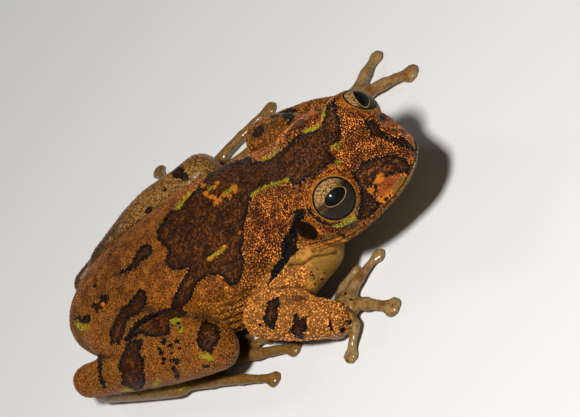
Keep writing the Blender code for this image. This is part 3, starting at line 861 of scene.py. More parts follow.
class Survey:
    """Where every point of the skin lies: its stretch of the body, its twin, and whether it is seen."""

    LEAST_FACING = 0.02
    OFF_SKIN = 0.25
    SOFTENING_ROUNDS = 5
    PART_BLEND = 0.8

    def __init__(self, mould: Mould, stretches: dict[tuple[Part, int], list[Limb]]) -> None:
        """Looks at the skin as it is.

        Args:
            mould: The skin.
            stretches: The tubes of each stretch of the limbs.
        """
        self.points = mould.points.copy()
        t, degrees = TRUNK.chart(self.points)
        self.trunk_t, self.trunk_degrees = t, degrees
        self.off = [np.linalg.norm(self.points - TRUNK.point(t, degrees), axis=1)]
        nearest = []
        for region in REGIONS[1:]:
            offs = np.array([tube.chart(self.points)[0] for tube in stretches[region]])
            nearest.append(np.argmin(offs, axis=0))
            self.off.append(offs.min(axis=0))
        self.home = np.argmin(self.off, axis=0)
        self.twins = TRUNK.twins(self.points)
        self.twin_home = self.home.copy()
        for index, (part, sign) in enumerate(REGIONS[1:], 1):
            other = REGIONS.index((part, -sign))
            here = self.home == index
            self.twin_home[here] = other
            for k, tube in enumerate(stretches[part, sign]):
                chosen = here & (nearest[index - 1] == k)
                if k < len(stretches[part, -sign]):
                    self.twins[chosen] = tube.twins(self.points[chosen], stretches[part, -sign][k])
        self.sight = self.seen(mould)
        tree = KDTree(len(self.points))
        for index, point in enumerate(self.points):
            tree.insert(point, index)
        tree.balance()
        self.twin_sight = self.sight[[tree.find(point)[1] for point in self.twins]]

    def seen(self, mould: Mould) -> Array:
        """How far each point is in the camera's sight, from 0 to 1, softened at the edges."""
        tree = BVHTree.FromPolygons(self.points.tolist(), mould.faces.tolist())
        eye = VIEW.eye()
        towards = unit(eye - self.points)
        facing = (mould.normals() * towards).sum(1)
        seen = np.zeros(len(self.points))
        for index in np.flatnonzero(facing > self.LEAST_FACING):
            start = self.points[index] + towards[index] * self.OFF_SKIN
            seen[index] = tree.ray_cast(start, towards[index])[0] is None
        seen = seen[:, None]
        for _ in range(self.SOFTENING_ROUNDS):
            seen = (seen + mould.mean_of_neighbours(seen)) / 2
        return seen[:, 0]

    def share_of(self, *parts: Part) -> Array:
        """How far each point belongs to some parts, from 0 to 1, with soft bounds."""
        ours = [off for off, (part, _) in zip(self.off, REGIONS) if part in parts]
        rest = [off for off, (part, _) in zip(self.off, REGIONS) if part not in parts]
        return ease(self.PART_BLEND, -self.PART_BLEND, np.min(ours, axis=0) - np.min(rest, axis=0))


@dataclass(frozen=True)
class SeenCrease:
    """A ridge, or a groove where height is below 0, along a line that the photograph shows."""

    line: Pixels
    width: float
    height: float
    parts: tuple[Part, ...] = (Part.TRUNK,)
    sign: int = -1
    grid_pixels: float = 3.2
    least_sight: float = 0.05

    def near(self, mould: Mould) -> Array:
        """Which points need a finer grid for it: those near the line that face the camera."""
        facing = (mould.normals() * (VIEW.eye() - mould.points)).sum(1) > 0
        off = line_distance(VIEW.pixels(mould.points), np.array(self.line, float))
        return facing & (off < self.grid_pixels)

    def push(self, survey: Survey) -> Array:
        """How far the skin at each point is moved outwards."""
        homes = [i for i, (part, sign) in enumerate(REGIONS) if part in self.parts and sign in (0, self.sign)]
        chosen = np.isin(survey.home, homes) & (survey.sight > self.least_sight)
        pixels = VIEW.pixels(survey.points[chosen])
        off = line_distance(pixels, np.array(self.line, float)) / VIEW.pixels_per_mm
        push = np.zeros(len(survey.points))
        push[chosen] = bell(off, self.height * survey.sight[chosen], self.width)
        return push


class Hue(Enum):
    """What a marking colours the skin with; each is a measure told on the skin."""

    DARK = "dark"
    BLACK = "black"
    LIME = "lime"
    ORANGE = "orange"
    RED = "red"
    CREAM = "cream"
    OLIVE = "olive"


@dataclass(frozen=True)
class Marking:
    """A marking as the photograph shows it: an outline, or a line or spot of some half width.

    Those marked left lie on the left limbs, and all others on the trunk and the right limbs.
    """

    hue: Hue
    line: Pixels
    half_width: float = 0.0
    left: bool = False

    def distance(self, pixels: Array) -> Array:
        """Distance in millimetres from places in the photograph to the marking, negative inside it."""
        line = np.array(self.line * 2 if len(self.line) == 1 else self.line, float)
        if self.half_width:
            off = line_distance(pixels, line) - self.half_width
        else:
            off = outline_distance(pixels, line)
        return off / VIEW.pixels_per_mm


def trace(*numbers: float) -> Pixels:
    """Points of the photograph, told as across and down in turn."""
    return tuple(zip(numbers[::2], numbers[1::2]))


def strokes(hue: Hue, *rows: tuple[float, ...], left: bool = False) -> tuple[Marking, ...]:
    """Lines of one hue, each told as its half width and then its points; 0 makes it an outline."""
    return tuple(Marking(hue, trace(*line), half_width, left) for half_width, *line in rows)


def spots(hue: Hue, *rows: tuple[float, float, float], left: bool = False) -> tuple[Marking, ...]:
    """Round spots, each told as across, down and radius in the photograph."""
    return tuple(Marking(hue, ((across, down),), radius, left) for across, down, radius in rows)


SADDLE = trace(
    335, 98, 331, 100, 326, 106, 323, 115, 321, 124, 317, 129, 309, 131, 300, 133, 295, 137, 289, 143,
    282, 149, 275, 154, 267, 159, 259, 161, 253, 162, 251, 157, 247, 156, 244, 159, 239, 160, 234, 161,
    226, 163, 213, 167, 207, 175, 199, 186, 191, 193, 184, 201, 177, 209, 169, 211, 165, 217, 163, 222,
    159, 226, 156, 230, 157, 237, 160, 243, 165, 246, 168, 250, 166, 257, 165, 263, 171, 269, 177, 271,
    184, 269, 188, 268, 185, 274, 180, 283, 176, 291, 173, 299, 171, 306, 176, 312, 183, 312, 183, 308,
    188, 303, 192, 297, 195, 289, 199, 282, 204, 279, 208, 275, 213, 276, 219, 275, 225, 281, 229, 286,
    235, 287, 240, 282, 243, 274, 245, 263, 244, 255, 241, 249, 244, 241, 245, 230, 246, 219, 249, 209,
    251, 198, 256, 192, 263, 189, 271, 186, 281, 182, 288, 180, 291, 182, 295, 186, 302, 184, 305, 179,
    312, 178, 319, 173, 327, 166, 336, 161, 334, 157, 330, 154, 331, 147, 340, 140, 342, 132, 341, 124,
    338, 115, 337, 108,
)
EAR_BAND = trace(
    303, 210, 309, 206, 313, 214, 320, 219, 328, 222, 336, 223, 344, 219, 350, 216, 346, 220, 340, 224,
    333, 226, 326, 226, 319, 225, 313, 220, 307, 216, 303, 218, 300, 224, 298, 231, 297, 238, 298, 245,
    299, 250, 296, 254, 290, 257, 284, 263, 280, 269, 274, 277, 269, 286, 266, 286, 272, 273, 279, 262,
    281, 252, 281, 245, 282, 239, 287, 234, 292, 228, 294, 221, 298, 216,
)
RIGHT_CHEEK = trace(
    351, 174, 357, 168, 364, 161, 372, 158, 380, 156, 388, 155, 396, 155, 401, 157, 405, 159, 410, 163,
    411, 169, 408, 175, 401, 174, 397, 172, 391, 176, 386, 180, 382, 177, 376, 181, 372, 188, 367, 191,
    374, 196, 377, 201, 383, 203, 377, 210, 370, 217, 364, 220, 357, 217, 358, 210, 361, 200, 360, 189,
    357, 183,
)
LEFT_CHEEK = trace(
    364, 119, 371, 119, 377, 124, 382, 130, 387, 135, 393, 137, 400, 137, 408, 140, 414, 147, 417, 155,
    411, 150, 405, 147, 398, 145, 392, 143, 387, 140, 379, 138, 372, 136, 368, 131,
)
RUMP_STRIPE = trace(
    117, 277, 120, 271, 127, 267, 132, 261, 137, 251, 141, 246, 147, 243, 152, 245, 153, 253, 147, 258,
    140, 263, 133, 271, 125, 273,
)
RUMP_PATCH = trace(
    140, 288, 145, 291, 147, 298, 145, 308, 140, 314, 131, 318, 127, 322, 124, 334, 120, 344, 110, 345,
    109, 334, 113, 322, 118, 315, 121, 308, 127, 304, 132, 298, 136, 292,
)
RUMP_RING = trace(
    91, 307, 94, 303, 99, 302, 102, 300, 100, 296, 105, 294, 110, 298, 107, 303, 103, 308, 98, 313,
)
VENT_MARK = trace(74, 322, 77, 316, 83, 318, 86, 314, 92, 316, 91, 321, 85, 325, 79, 324)
KNEE_BLOTCH = trace(
    202, 320, 210, 322, 217, 324, 221, 333, 220, 341, 215, 346, 213, 354, 206, 353, 199, 348, 196, 341,
    198, 331,
)
SHANK_BAR = trace(
    128, 341, 137, 339, 144, 339, 142, 347, 140, 354, 145, 360, 144, 367, 146, 380, 143, 389, 139, 396,
    130, 389, 122, 384, 121, 374, 118, 366, 121, 357, 124, 349,
)
HEEL_BAR = trace(98, 356, 103, 354, 103, 361, 102, 372, 106, 383, 107, 390, 104, 390, 99, 380, 97, 369)
THIGH_BAND = trace(
    187, 312, 184, 318, 176, 319, 170, 326, 169, 336, 158, 337, 146, 337, 142, 333, 134, 338, 125, 342,
    128, 332, 136, 321, 147, 315, 160, 310, 172, 306, 180, 308,
)
FOREARM_BAR = trace(
    267, 303, 271, 299, 280, 296, 281, 304, 277, 309, 279, 315, 275, 322, 276, 332, 270, 329, 264, 325,
    262, 320, 265, 313, 266, 308,
)
WRIST_BAR = trace(
    295, 313, 298, 315, 300, 319, 304, 316, 308, 318, 307, 324, 307, 330, 304, 334, 303, 341, 296, 337,
    290, 332, 292, 325, 292, 319,
)
THROAT = trace(
    288, 265, 296, 256, 304, 251, 318, 250, 332, 246, 347, 239, 352, 246, 346, 260, 338, 274, 330, 288,
    322, 298, 312, 298, 307, 290, 308, 280, 310, 270, 306, 265, 297, 266,
)
DARK_OUTLINES: tuple[Pixels, ...] = (
    SADDLE, EAR_BAND, RIGHT_CHEEK, LEFT_CHEEK, RUMP_STRIPE, RUMP_PATCH, RUMP_RING, VENT_MARK,
    KNEE_BLOTCH, SHANK_BAR, HEEL_BAR, THIGH_BAND, FOREARM_BAR, WRIST_BAR,
)
MARKS: tuple[Marking, ...] = (
    *(Marking(Hue.DARK, outline) for outline in DARK_OUTLINES),
    Marking(Hue.OLIVE, THROAT),
    *strokes(
        Hue.BLACK,
        (4.2, 303, 213, 297, 220, 294, 230, 289, 238, 289, 250, 284, 260, 274, 274),
        (1.7, 357, 217, 361, 219, 364, 223),
        (1.1, 334, 229, 338, 233, 345, 236),
        (1.8, 125, 340, 131, 334, 136, 327, 147, 320, 156, 315, 163, 311),
        (1.3, 330, 321, 330, 326, 332, 331),
    ),
    *strokes(
        Hue.LIME,
        (
            0, 333, 226, 335, 229, 338, 231, 341, 231, 346, 227, 351, 223, 358, 221, 356, 216, 351, 216,
            346, 219, 341, 223,
        ),
        (0.7, 331, 147, 335, 144, 339, 144, 337, 149),
        (1.2, 336, 163, 340, 162),
        (1.9, 225, 193, 229, 191, 233, 187),
        (1.5, 209, 190, 211, 187),
        (1.7, 209, 259, 215, 255, 221, 251, 225, 247),
        (1.3, 252, 195, 257, 191, 264, 187, 273, 184, 285, 181, 288, 179),
        (1.3, 262, 160, 272, 155, 280, 149),
        (1.3, 304, 131, 313, 129, 318, 126, 322, 117, 324, 109),
        (1.4, 178, 208, 184, 200, 190, 192),
        (2.4, 77, 323, 82, 328, 87, 327),
        (2.4, 172, 322, 178, 320, 181, 330),
        (2.2, 202, 356, 208, 357, 211, 360),
        (2.4, 125, 391, 131, 392),
        (2.2, 158, 381, 154, 389),
        (2, 181, 388, 187, 386),
    ),
    *strokes(
        Hue.CREAM,
        (0, 341, 232, 346, 226, 352, 223, 361, 221, 363, 225, 356, 230, 346, 236),
        (0, 322, 240, 328, 234, 334, 232, 343, 236, 336, 240, 326, 243),
        (0, 398, 176, 409, 176, 403, 187, 396, 194, 391, 192, 393, 185),
    ),
    *strokes(
        Hue.RED,
        (0, 385, 179, 391, 176, 398, 174, 397, 181, 391, 188, 386, 196, 378, 196, 379, 184),
    ),
    *strokes(
        Hue.ORANGE,
        (0, 381, 173, 377, 176, 374, 181, 374, 184, 379, 184, 384, 178, 384, 174),
        (0, 366, 187, 371, 187, 375, 190, 371, 193, 367, 190),
    ),
    *strokes(
        Hue.DARK,
        (0, 283, 111, 290, 107, 297, 110, 294, 117, 286, 121, 282, 117),
        (0, 252, 137, 255, 128, 262, 124, 265, 130, 260, 138),
        left=True,
    ),
    *strokes(
        Hue.BLACK,
        (2.2, 311, 110, 312, 118, 307, 126),
        (1.8, 272, 117, 284, 112, 293, 116, 288, 124),
        left=True,
    ),
    *spots(
        Hue.ORANGE, (379, 199, 2.2), (384, 201, 2.2), (388, 195, 1.8), (203, 185, 1.9), (206, 194, 2.2),
        (211, 197, 2), (216, 203, 2.3), (219, 200, 2), (215, 198, 1.8), (217, 183, 1.7), (215, 187, 1.7),
        (223, 195, 1.9), (235, 187, 2), (235, 191, 1.9), (229, 196, 2), (224, 247, 1.6), (211, 259, 1.8),
        (240, 233, 1.4), (103, 304, 1.6), (358, 220, 1.6), (362, 223, 1.4),
    ),
    *spots(
        Hue.BLACK, (386, 199, 2.1), (390, 196, 1.5), (377, 204, 2.4), (375, 186, 1.9), (376, 192, 2),
        (297, 211, 2.2), (295, 213, 2), (259, 251, 2.2), (95, 286, 2), (232, 306, 1.3), (292, 252, 3.2),
        (178, 323.5, 1.9), (180.5, 328.5, 1.7), (196, 318, 1.4), (159, 349, 1.9), (161, 353, 2.1),
        (164, 359, 2.3), (163, 363, 1.9), (170, 361, 1.6), (179, 348, 2.2), (171, 353, 1.6), (204, 367, 1.8),
        (208, 366, 1.6), (212, 361, 1.2), (193, 343, 1.6), (141, 349, 1.5), (144, 357, 1.7), (119, 365, 1.7),
        (143, 381, 1.6), (165, 338, 1.5), (260, 325, 1.8), (307, 317, 1.5), (290, 331, 1.6), (267, 309, 1.6),
    ),
    *spots(
        Hue.DARK, (176, 361, 4), (174, 369, 2.8), (177, 376, 3.4), (164, 342, 3), (177, 341, 2.6),
        (170, 346, 2.6), (338, 298, 2), (340, 294, 1.7), (345, 294, 1.8), (343, 302, 1.8), (352, 299, 1.9),
        (349, 322, 3.2), (343, 330, 3), (311, 273, 1.9), (313, 277, 1.6), (319, 270, 1.5), (322, 279, 1.6),
        (316, 284, 1.5), (325, 273, 1.4),
    ),
    *spots(
        Hue.DARK, (178, 172, 6.5), (184, 177, 4.6), (150, 212, 5.4), (133, 238, 3.6), (165, 190, 2.4),
        left=True,
    ),
)


@dataclass(frozen=True)
class Fold:
    """A fold or hollow of the face through marks, each told as ahead of the neck and degrees."""

    marks: Pixels
    width: float
    height: float
    smooth: int = 0

    def crease(self, side: int) -> Crease:
        """The crease that it makes on one side of the head."""
        marks = self.marks
        if self.smooth:
            marks = between(marks, np.linspace(0, len(marks) - 1, self.smooth))
        line = np.array([TRUNK.face(ahead, side * degrees) for ahead, degrees in marks])
        return Crease(line, self.width, self.height)


@dataclass(frozen=True)
class Grid:
    """How far about the face's features the skin's grid is cut finer."""

    mouth: float
    lid: float
    nostril: float
    drum: float = 0.0


EAR_FOLD = trace(8.2, 62, 6.4, 53, 4.6, 50, 2.8, 53, 1.2, 63, -0.2, 80, -1.4, 96)
SNOUT_RIDGE = trace(13, 42, 14.4, 43, 15.6, 44, 16.8, 42)
CHEEK_HOLLOW = trace(13.2, 66, 14.6, 67, 16, 68)


@dataclass(frozen=True)
class FaceWork:
    """What is worked into the head's skin: lids, lips, nostrils, eardrums and the folds about them."""

    openings: tuple[float, float] = (math.radians(43), math.radians(57))
    lid_edge: float = 0.22
    lid_roll: Ramp = (-0.06, math.radians(9))
    lid_pull: Ramp = (math.radians(26), math.radians(6))
    lid_bound: float = math.radians(30)
    lid_reach: float = 5.0
    tuck: float = 2.45
    tuck_start: float = -0.05
    mouth_start: float = 5.6
    mouth_end: float = 0.9
    mouth_drop: float = 0.25
    mouth_marks: int = 26
    mouth_angle: float = 93.0
    mouth_depth: float = 0.3
    mouth_width: float = 0.17
    lip_start: float = 0.6
    lip_end: float = 1.4
    lip_marks: int = 20
    lip_roll: float = 0.14
    upper_lip: tuple[float, float, float] = (-9.0, 0.42, 1.0)
    lower_lip: tuple[float, float, float] = (10.0, 0.5, 0.8)
    nostril_ahead: float = 16.3
    nostril_angle: float = 44.0
    nostril_radius: float = 0.3
    nostril_depth: float = 0.55
    nostril_rim: Ramp = (0.16, 0.8)
    drum_ahead: float = 5.5
    drum_angle: float = 68.0
    drum_radius: float = 1.6
    drum_rim: Ramp = (0.14, 0.2)
    drum_dip: Ramp = (0.12, 0.5)
    folds: tuple[Fold, ...] = (
        Fold(EAR_FOLD, 0.5, 0.42, smooth=25),
        Fold(SNOUT_RIDGE, 0.8, 0.22),
        Fold(CHEEK_HOLLOW, 1.1, -0.3),
    )
    fine: Grid = Grid(0.8, math.radians(24), 0.9, 0.6)
    finest: Grid = Grid(0.34, math.radians(11), 0.5)
    grid_reach: float = 4.2

    def past_lid(self, side: int, points: Array) -> tuple[Array, Array]:
        """Each point's distance from an eyeball's centre, and its angle outside the lid's edge."""
        off = points - HEAD.eye(side)
        reach = np.linalg.norm(off, axis=1)
        turned = np.arccos(np.clip(off @ HEAD.gaze(side) / np.maximum(reach, 1e-9), -1, 1))
        return reach, turned - self.openings[0 if side > 0 else 1]

    def round_snout(self, start: float, end: float, count: int, angle: float, *tip: Array) -> Array:
        """A line from one side of the head round the snout to the other, through its tip where told."""
        marks = np.linspace(start, HEAD.length - end, count)
        right = [TRUNK.face(ahead, -angle) for ahead in marks]
        left = [TRUNK.face(ahead, angle) for ahead in marks]
        return np.array([*right, *tip, *left[::-1]])

    def mouth_line(self) -> Array:
        """The line between the lips, from one corner of the mouth round the snout to the other."""
        tip = HEAD.place(HEAD.length, 0, HEAD.snout_height - self.mouth_drop)
        return self.round_snout(self.mouth_start, self.mouth_end, self.mouth_marks, self.mouth_angle, tip)

    def lip_line(self, turn: float) -> Array:
        """A line beside the mouth line, some degrees lower on the lips, or higher below 0."""
        start, angle = self.mouth_start + self.lip_start, self.mouth_angle + turn
        return self.round_snout(start, self.lip_end, self.lip_marks, angle)

    def nostril(self, side: int) -> Array:
        """A nostril's centre."""
        return TRUNK.face(self.nostril_ahead, side * self.nostril_angle)

    def drum(self, side: int) -> Array:
        """An eardrum's centre."""
        return TRUNK.face(self.drum_ahead, side * self.drum_angle)

    def near(self, points: Array, grid: Grid) -> Array:
        """Which points need a finer grid: those about the eyes, the mouth, the nostrils and the eardrums."""
        chosen = line_distance(points, self.mouth_line()) < grid.mouth
        for side in (1, -1):
            reach, past = self.past_lid(side, points)
            chosen |= (reach < self.grid_reach) & (abs(past) < grid.lid)
            chosen |= apart(points, self.nostril(side)) < grid.nostril
            chosen |= abs(apart(points, self.drum(side)) - self.drum_radius) < grid.drum
        return chosen

    def set_eyes(self, mould: Mould) -> None:
        """Opens the lids round each eyeball, with a rolled edge."""
        for side in (1, -1):
            reach, past = self.past_lid(side, mould.points)
            centre = HEAD.eye(side)
            outward = unit(mould.points - centre)
            edge = HEAD.eye_radius + self.lid_edge
            rolled = edge - self.lid_edge * (1 - ease(*self.lid_roll, past)) ** 2
            near = (reach < self.lid_reach) & (past < self.lid_bound)
            wanted = reach + (rolled - reach) * ease(*self.lid_pull, past)
            wanted = np.where(past < self.tuck_start, self.tuck, wanted)
            mould.points[near] = centre + outward[near] * wanted[near, None]

    def shape(self, mould: Mould) -> None:
        """Raises and lowers the skin for the lips, nostrils, eardrums and folds."""
        points = mould.points
        push = Crease(self.mouth_line(), self.mouth_width, -self.mouth_depth).push(points)
        for turn, width, share in (self.upper_lip, self.lower_lip):
            push += Crease(self.lip_line(turn), width, self.lip_roll * share).push(points)
        dip, dip_width = self.drum_dip
        for side in (1, -1):
            for fold in self.folds:
                push += fold.crease(side).push(points)
            off = apart(points, self.drum(side))
            push += bell(off - self.drum_radius, *self.drum_rim)
            push -= dip * ease(self.drum_radius, self.drum_radius - dip_width, off)
            nose = apart(points, self.nostril(side))
            push += bell(nose, *self.nostril_rim)
            push -= bell(nose, self.nostril_depth, self.nostril_radius)
        mould.points += mould.normals() * push[:, None]


FACE = FaceWork()


def fan(first: Pixels, last: Pixels, count: int, width: float, height: float) -> tuple[SeenCrease, ...]:
    """Creases that fan out between two lines of the photograph."""
    a, b = np.array(first, float), np.array(last, float)
    lines = [a + (b - a) * k / (count - 1) for k in range(count)]
    return tuple(SeenCrease(tuple(map(tuple, line)), width, height) for line in lines)


def seen_creases(parts: tuple[Part, ...], *rows: tuple[float, ...]) -> tuple[SeenCrease, ...]:
    """Creases of the same parts, each told as its width, its height and then its points."""
    return tuple(SeenCrease(trace(*line), width, height, parts) for width, height, *line in rows)


SHOULDER_PARTS = (Part.TRUNK, Part.UPPER_ARM)
ELBOW_PARTS = (Part.UPPER_ARM, Part.FOREARM)
WRIST_PARTS = (Part.HAND, Part.FOREARM)
SEEN_CREASES: tuple[SeenCrease, ...] = (
    *seen_creases(
        SHOULDER_PARTS,
        (0.2, -0.2, 301, 246, 314, 244, 332, 240, 345, 235),
        (0.2, -0.2, 312, 252, 322, 251, 331, 248, 341, 242),
        (0.22, -0.3, 287, 265, 302, 265, 308, 261, 314, 257, 326, 256, 338, 253),
        (0.3, 0.16, 294, 261, 304, 258, 318, 253),
    ),
    *fan(((214, 302), (235, 297), (255, 287)), ((236, 352), (252, 342), (264, 331)), 9, 0.2, -0.16),
    *fan(((216, 305), (237, 300), (256, 290)), ((234, 349), (250, 339), (262, 329)), 8, 0.24, 0.08),
    *seen_creases(
        SHOULDER_PARTS,
        (0.4, -0.35, 253, 300, 258, 292, 266, 283, 276, 276, 288, 265),
    ),
    *seen_creases(
        ELBOW_PARTS,
        (0.3, 0.22, 269, 294, 277, 292, 288, 292, 300, 292, 309, 296, 317, 300),
        (0.22, -0.22, 270, 290, 278, 288, 289, 288, 301, 288, 311, 292, 320, 297),
    ),
    *seen_creases(
        WRIST_PARTS,
        (0.24, -0.22, 335, 316, 341, 312, 348, 314, 352, 320, 350, 328, 343, 332),
        (0.24, -0.2, 331, 311, 338, 306, 348, 307, 356, 313, 360, 322),
        (0.22, -0.22, 338, 320, 342, 317, 347, 320, 346, 326, 341, 327),
        (0.28, -0.24, 329, 306, 331, 318, 331, 330),
    ),
    *seen_creases(
        (Part.TRUNK,),
        (0.5, 0.28, 240, 150, 262, 145, 280, 138, 300, 128, 316, 114),
        (0.4, -0.12, 240, 156, 262, 152, 280, 145, 300, 134),
    ),
)


def tell(mesh: bpy.types.Mesh, name: str, values: Array) -> None:
    """Writes a measure down for each point of a mesh."""
    mesh.attributes.new(name, "FLOAT", "POINT").data.foreach_set("value", values.astype(np.float32))


@dataclass
class Flesh:
    """The frog's skin: every stretch of the body drawn into one closed surface."""

    voxel: float = 0.33
    unevenness: float = 0.07
    unevenness_scale: float = 0.55
    fine_scale: float = 2.7
    fine_share: float = 0.5
    smooth_digits: float = 0.6
    joint_softness: float = 0.9
    joint_strength: float = 0.8
    lowest: float = 0.01
    far: float = 3.0
    under_slope: Ramp = (-0.25, -0.75)
    under_degrees: Ramp = (112, 135)
    throat_t: Ramp = (8.1, 8.8)
    throat_degrees: Ramp = (93, 99)
    head_t: Ramp = (8.6, 10.2)
    flank_t: Ramp = (9.4, 8.0)
    flank_degrees: Ramp = (42, 82)
    rear_t: Ramp = (6.5, 3.5)
    crisp_t: Ramp = (4.5, 7.5)
    crisp_arm: float = 0.6
    # Where the painted highlight on the seen left leg grows towards the knee.
    knee_forward: Ramp = (10, 17)
    hollow_depth: float = 0.02
    bare_throat: float = 0.9
    bare_tan: float = 0.8
    bare_mouth: Ramp = (0.5, 1.3)
    bare_lid: Ramp = (0.35, 0.9)
    bare_drum: Ramp = (0.1, 0.5)
    bare_olive: Ramp = (-0.1, 0.5)
    stretches: dict[tuple[Part, int], list[Limb]] = field(default_factory=dict)

    def clay(self) -> Clay:
        """Presses the trunk, the lids and all limbs together."""
        clay = Clay()
        clay.loft(*TRUNK.rings())
        for side in (1, -1):
            back = HEAD.eye(side) - HEAD.gaze(side) * HEAD.lid_back
            clay.ball(back, (HEAD.lid_radius,) * 3, (0, -1, 0))
        for limbs in (RIGHT, LEFT):
            for part, tubes in limbs.press(clay).items():
                self.stretches[part, limbs.sign] = tubes
        return clay

    def soften_joints(self, mould: Mould) -> None:
        """Softens the skin where a limb runs into another or into the trunk."""
        offs = [
            np.min([tube.chart(mould.points)[0] for tube in tubes], axis=0)
            for tubes in self.stretches.values()
        ]
        nearest = np.min(np.abs(offs), axis=0)
        mould.soften(6, bell(nearest, self.joint_strength, self.joint_softness))

    def roughen(self, mould: Mould, survey: Survey) -> None:
        """Makes the skin a little uneven, as over muscle and loose folds."""
        smooth = survey.share_of(Part.HAND, Part.FOOT)
        places = [Vector(point) * self.unevenness_scale for point in mould.points]
        lumps = np.array([noise.noise(at) for at in places])
        fine = np.array([noise.noise(at * self.fine_scale) for at in places])
        push = self.unevenness * (lumps + self.fine_share * fine) * (1 - self.smooth_digits * smooth)
        mould.points += mould.normals() * push[:, None]

    def markings(self, mould: Mould, survey: Survey) -> dict[str, Array]:
        """How far each point of the skin lies from the nearest marking of each hue, in millimetres."""
        here, twin = VIEW.pixels(mould.points), VIEW.pixels(survey.twins)
        told = {}
        for hue in Hue:
            seen = self.off_marks(hue, here, survey.home)
            mirrored = self.off_marks(hue, twin, survey.twin_home)
            mirrored = self.far + (mirrored - self.far) * survey.twin_sight
            told[hue.value] = mirrored + (seen - mirrored) * survey.sight
        return told

    def off_marks(self, hue: Hue, pixels: Array, homes: Array) -> Array:
        """Distance from places in the photograph to the nearest marking of a hue on the same side."""
        on_left = np.array([sign > 0 for _, sign in REGIONS])[homes]
        best = np.full(len(pixels), self.far)
        reach = self.far * VIEW.pixels_per_mm
        for mark in MARKS:
            if mark.hue is not hue:
                continue
            low, high = np.min(mark.line, axis=0) - reach, np.max(mark.line, axis=0) + reach
            close = (on_left == mark.left) & np.all((pixels > low) & (pixels < high), axis=1)
            best[close] = np.minimum(best[close], mark.distance(pixels[close]))
        return best

    def measures(self, mould: Mould, survey: Survey) -> dict[str, Array]:
        """All that is told of the skin at each of its points, for its colours and its grains."""
        points, normals = mould.points, mould.normals()
        t, degrees = survey.trunk_t, np.abs(survey.trunk_degrees)
        trunk, foot = survey.share_of(Part.TRUNK), survey.share_of(Part.FOOT)
        arm = survey.share_of(Part.FOREARM, Part.UPPER_ARM)
        leg = survey.share_of(Part.THIGH, Part.SHANK)
        digit = survey.share_of(Part.HAND, Part.FOOT)
        left = points[:, 0] > 0
        lid = np.min([FACE.past_lid(side, points)[1] for side in (1, -1)], axis=0) * HEAD.eye_radius
        drum = np.min([apart(points, FACE.drum(side)) for side in (1, -1)], axis=0) - FACE.drum_radius
        mouth = line_distance(points, FACE.mouth_line())
        # How hollow the skin lies at each point, for painted shade in its creases and hollows.
        hollow = ((mould.mean_of_neighbours(points) - points) * normals).sum(1)[:, None]
        for _ in range(2):
            hollow = (hollow + mould.mean_of_neighbours(hollow)) / 2
        under = np.maximum(ease(*self.under_slope, normals[:, 2]), trunk * ease(*self.under_degrees, degrees))
        throat = trunk * ease(*self.throat_t, t) * ease(*self.throat_degrees, degrees)
        head = trunk * ease(*self.head_t, t)
        crisp = np.maximum(trunk * ease(*self.crisp_t, t), self.crisp_arm * arm)
        # The left leg where the camera sees it, to be painted in shade.
        shaded_tan = leg * survey.sight * left
        marks = self.markings(mould, survey)
        grained = (1 - digit) * (1 - under) * (1 - self.bare_throat * throat) * (1 - self.bare_tan * shaded_tan)
        grained *= ease(*self.bare_mouth, mouth) * ease(*self.bare_lid, lid)
        grained *= ease(*self.bare_drum, drum) * ease(*self.bare_olive, marks["olive"])
        return marks | {
            "head": head,
            "flank": trunk * ease(*self.flank_degrees, degrees) * ease(*self.flank_t, t),
            "rear": trunk * ease(*self.rear_t, t),
            "throat": throat,
            "under": under,
            "digit": digit,
            # The arm's brighter orange goes on the right arm only; the left arm takes the leg's darker brown
            # instead, as painted shade.
            "arm": arm * ~left,
            "foot": foot,
            "leg": np.maximum(leg, arm * left),
            "crisp": crisp,
            "lid": lid,
            "shaded_tan": shaded_tan,
            # Painted highlight on the seen left leg, growing towards its knee.
            "knee": shaded_tan * ease(*self.knee_forward, ORIGIN_FORWARD - points[:, 1]),
            "drum": drum,
            "mouth": mouth,
            "hollow": hollow[:, 0] / self.hollow_depth,
            "grained": grained,
            "head_grained": grained * head,
            "front_grained": grained * (1 - head) * crisp,
            "rear_grained": grained * (1 - head) * (1 - crisp),
        }

    def build(self) -> bpy.types.Object:
        """Makes the skin.

        Returns:
            The skin's object, in metres, riding on the body and standing for the flesh nodes.
        """
        mould = Mould(self.clay().fused(self.voxel))
        mould.relax(4)
        self.soften_joints(mould)
        mould.refine(FACE.near(mould.points, FACE.fine))
        mould.refine(FACE.near(mould.points, FACE.finest))
        mould.refine(np.any([crease.near(mould) for crease in SEEN_CREASES], axis=0))
        mould.relax(2)
        survey = Survey(mould, self.stretches)
        self.roughen(mould, survey)
        push = np.sum([crease.push(survey) for crease in SEEN_CREASES], axis=0)
        mould.points += mould.normals() * push[:, None]
        FACE.shape(mould)
        FACE.set_eyes(mould)
        mould.points[:, 2] = np.maximum(mould.points[:, 2], self.lowest)
        for name, values in self.measures(mould, survey).items():
            tell(mould.mesh, name, values)
        mould.points *= MM
        mould.write()
        mould.mesh.shade_smooth()
        skin = add_object("skin", mould.mesh)
        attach(skin, BODY)
        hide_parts(*[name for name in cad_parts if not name.startswith("eye_")])
        return skin


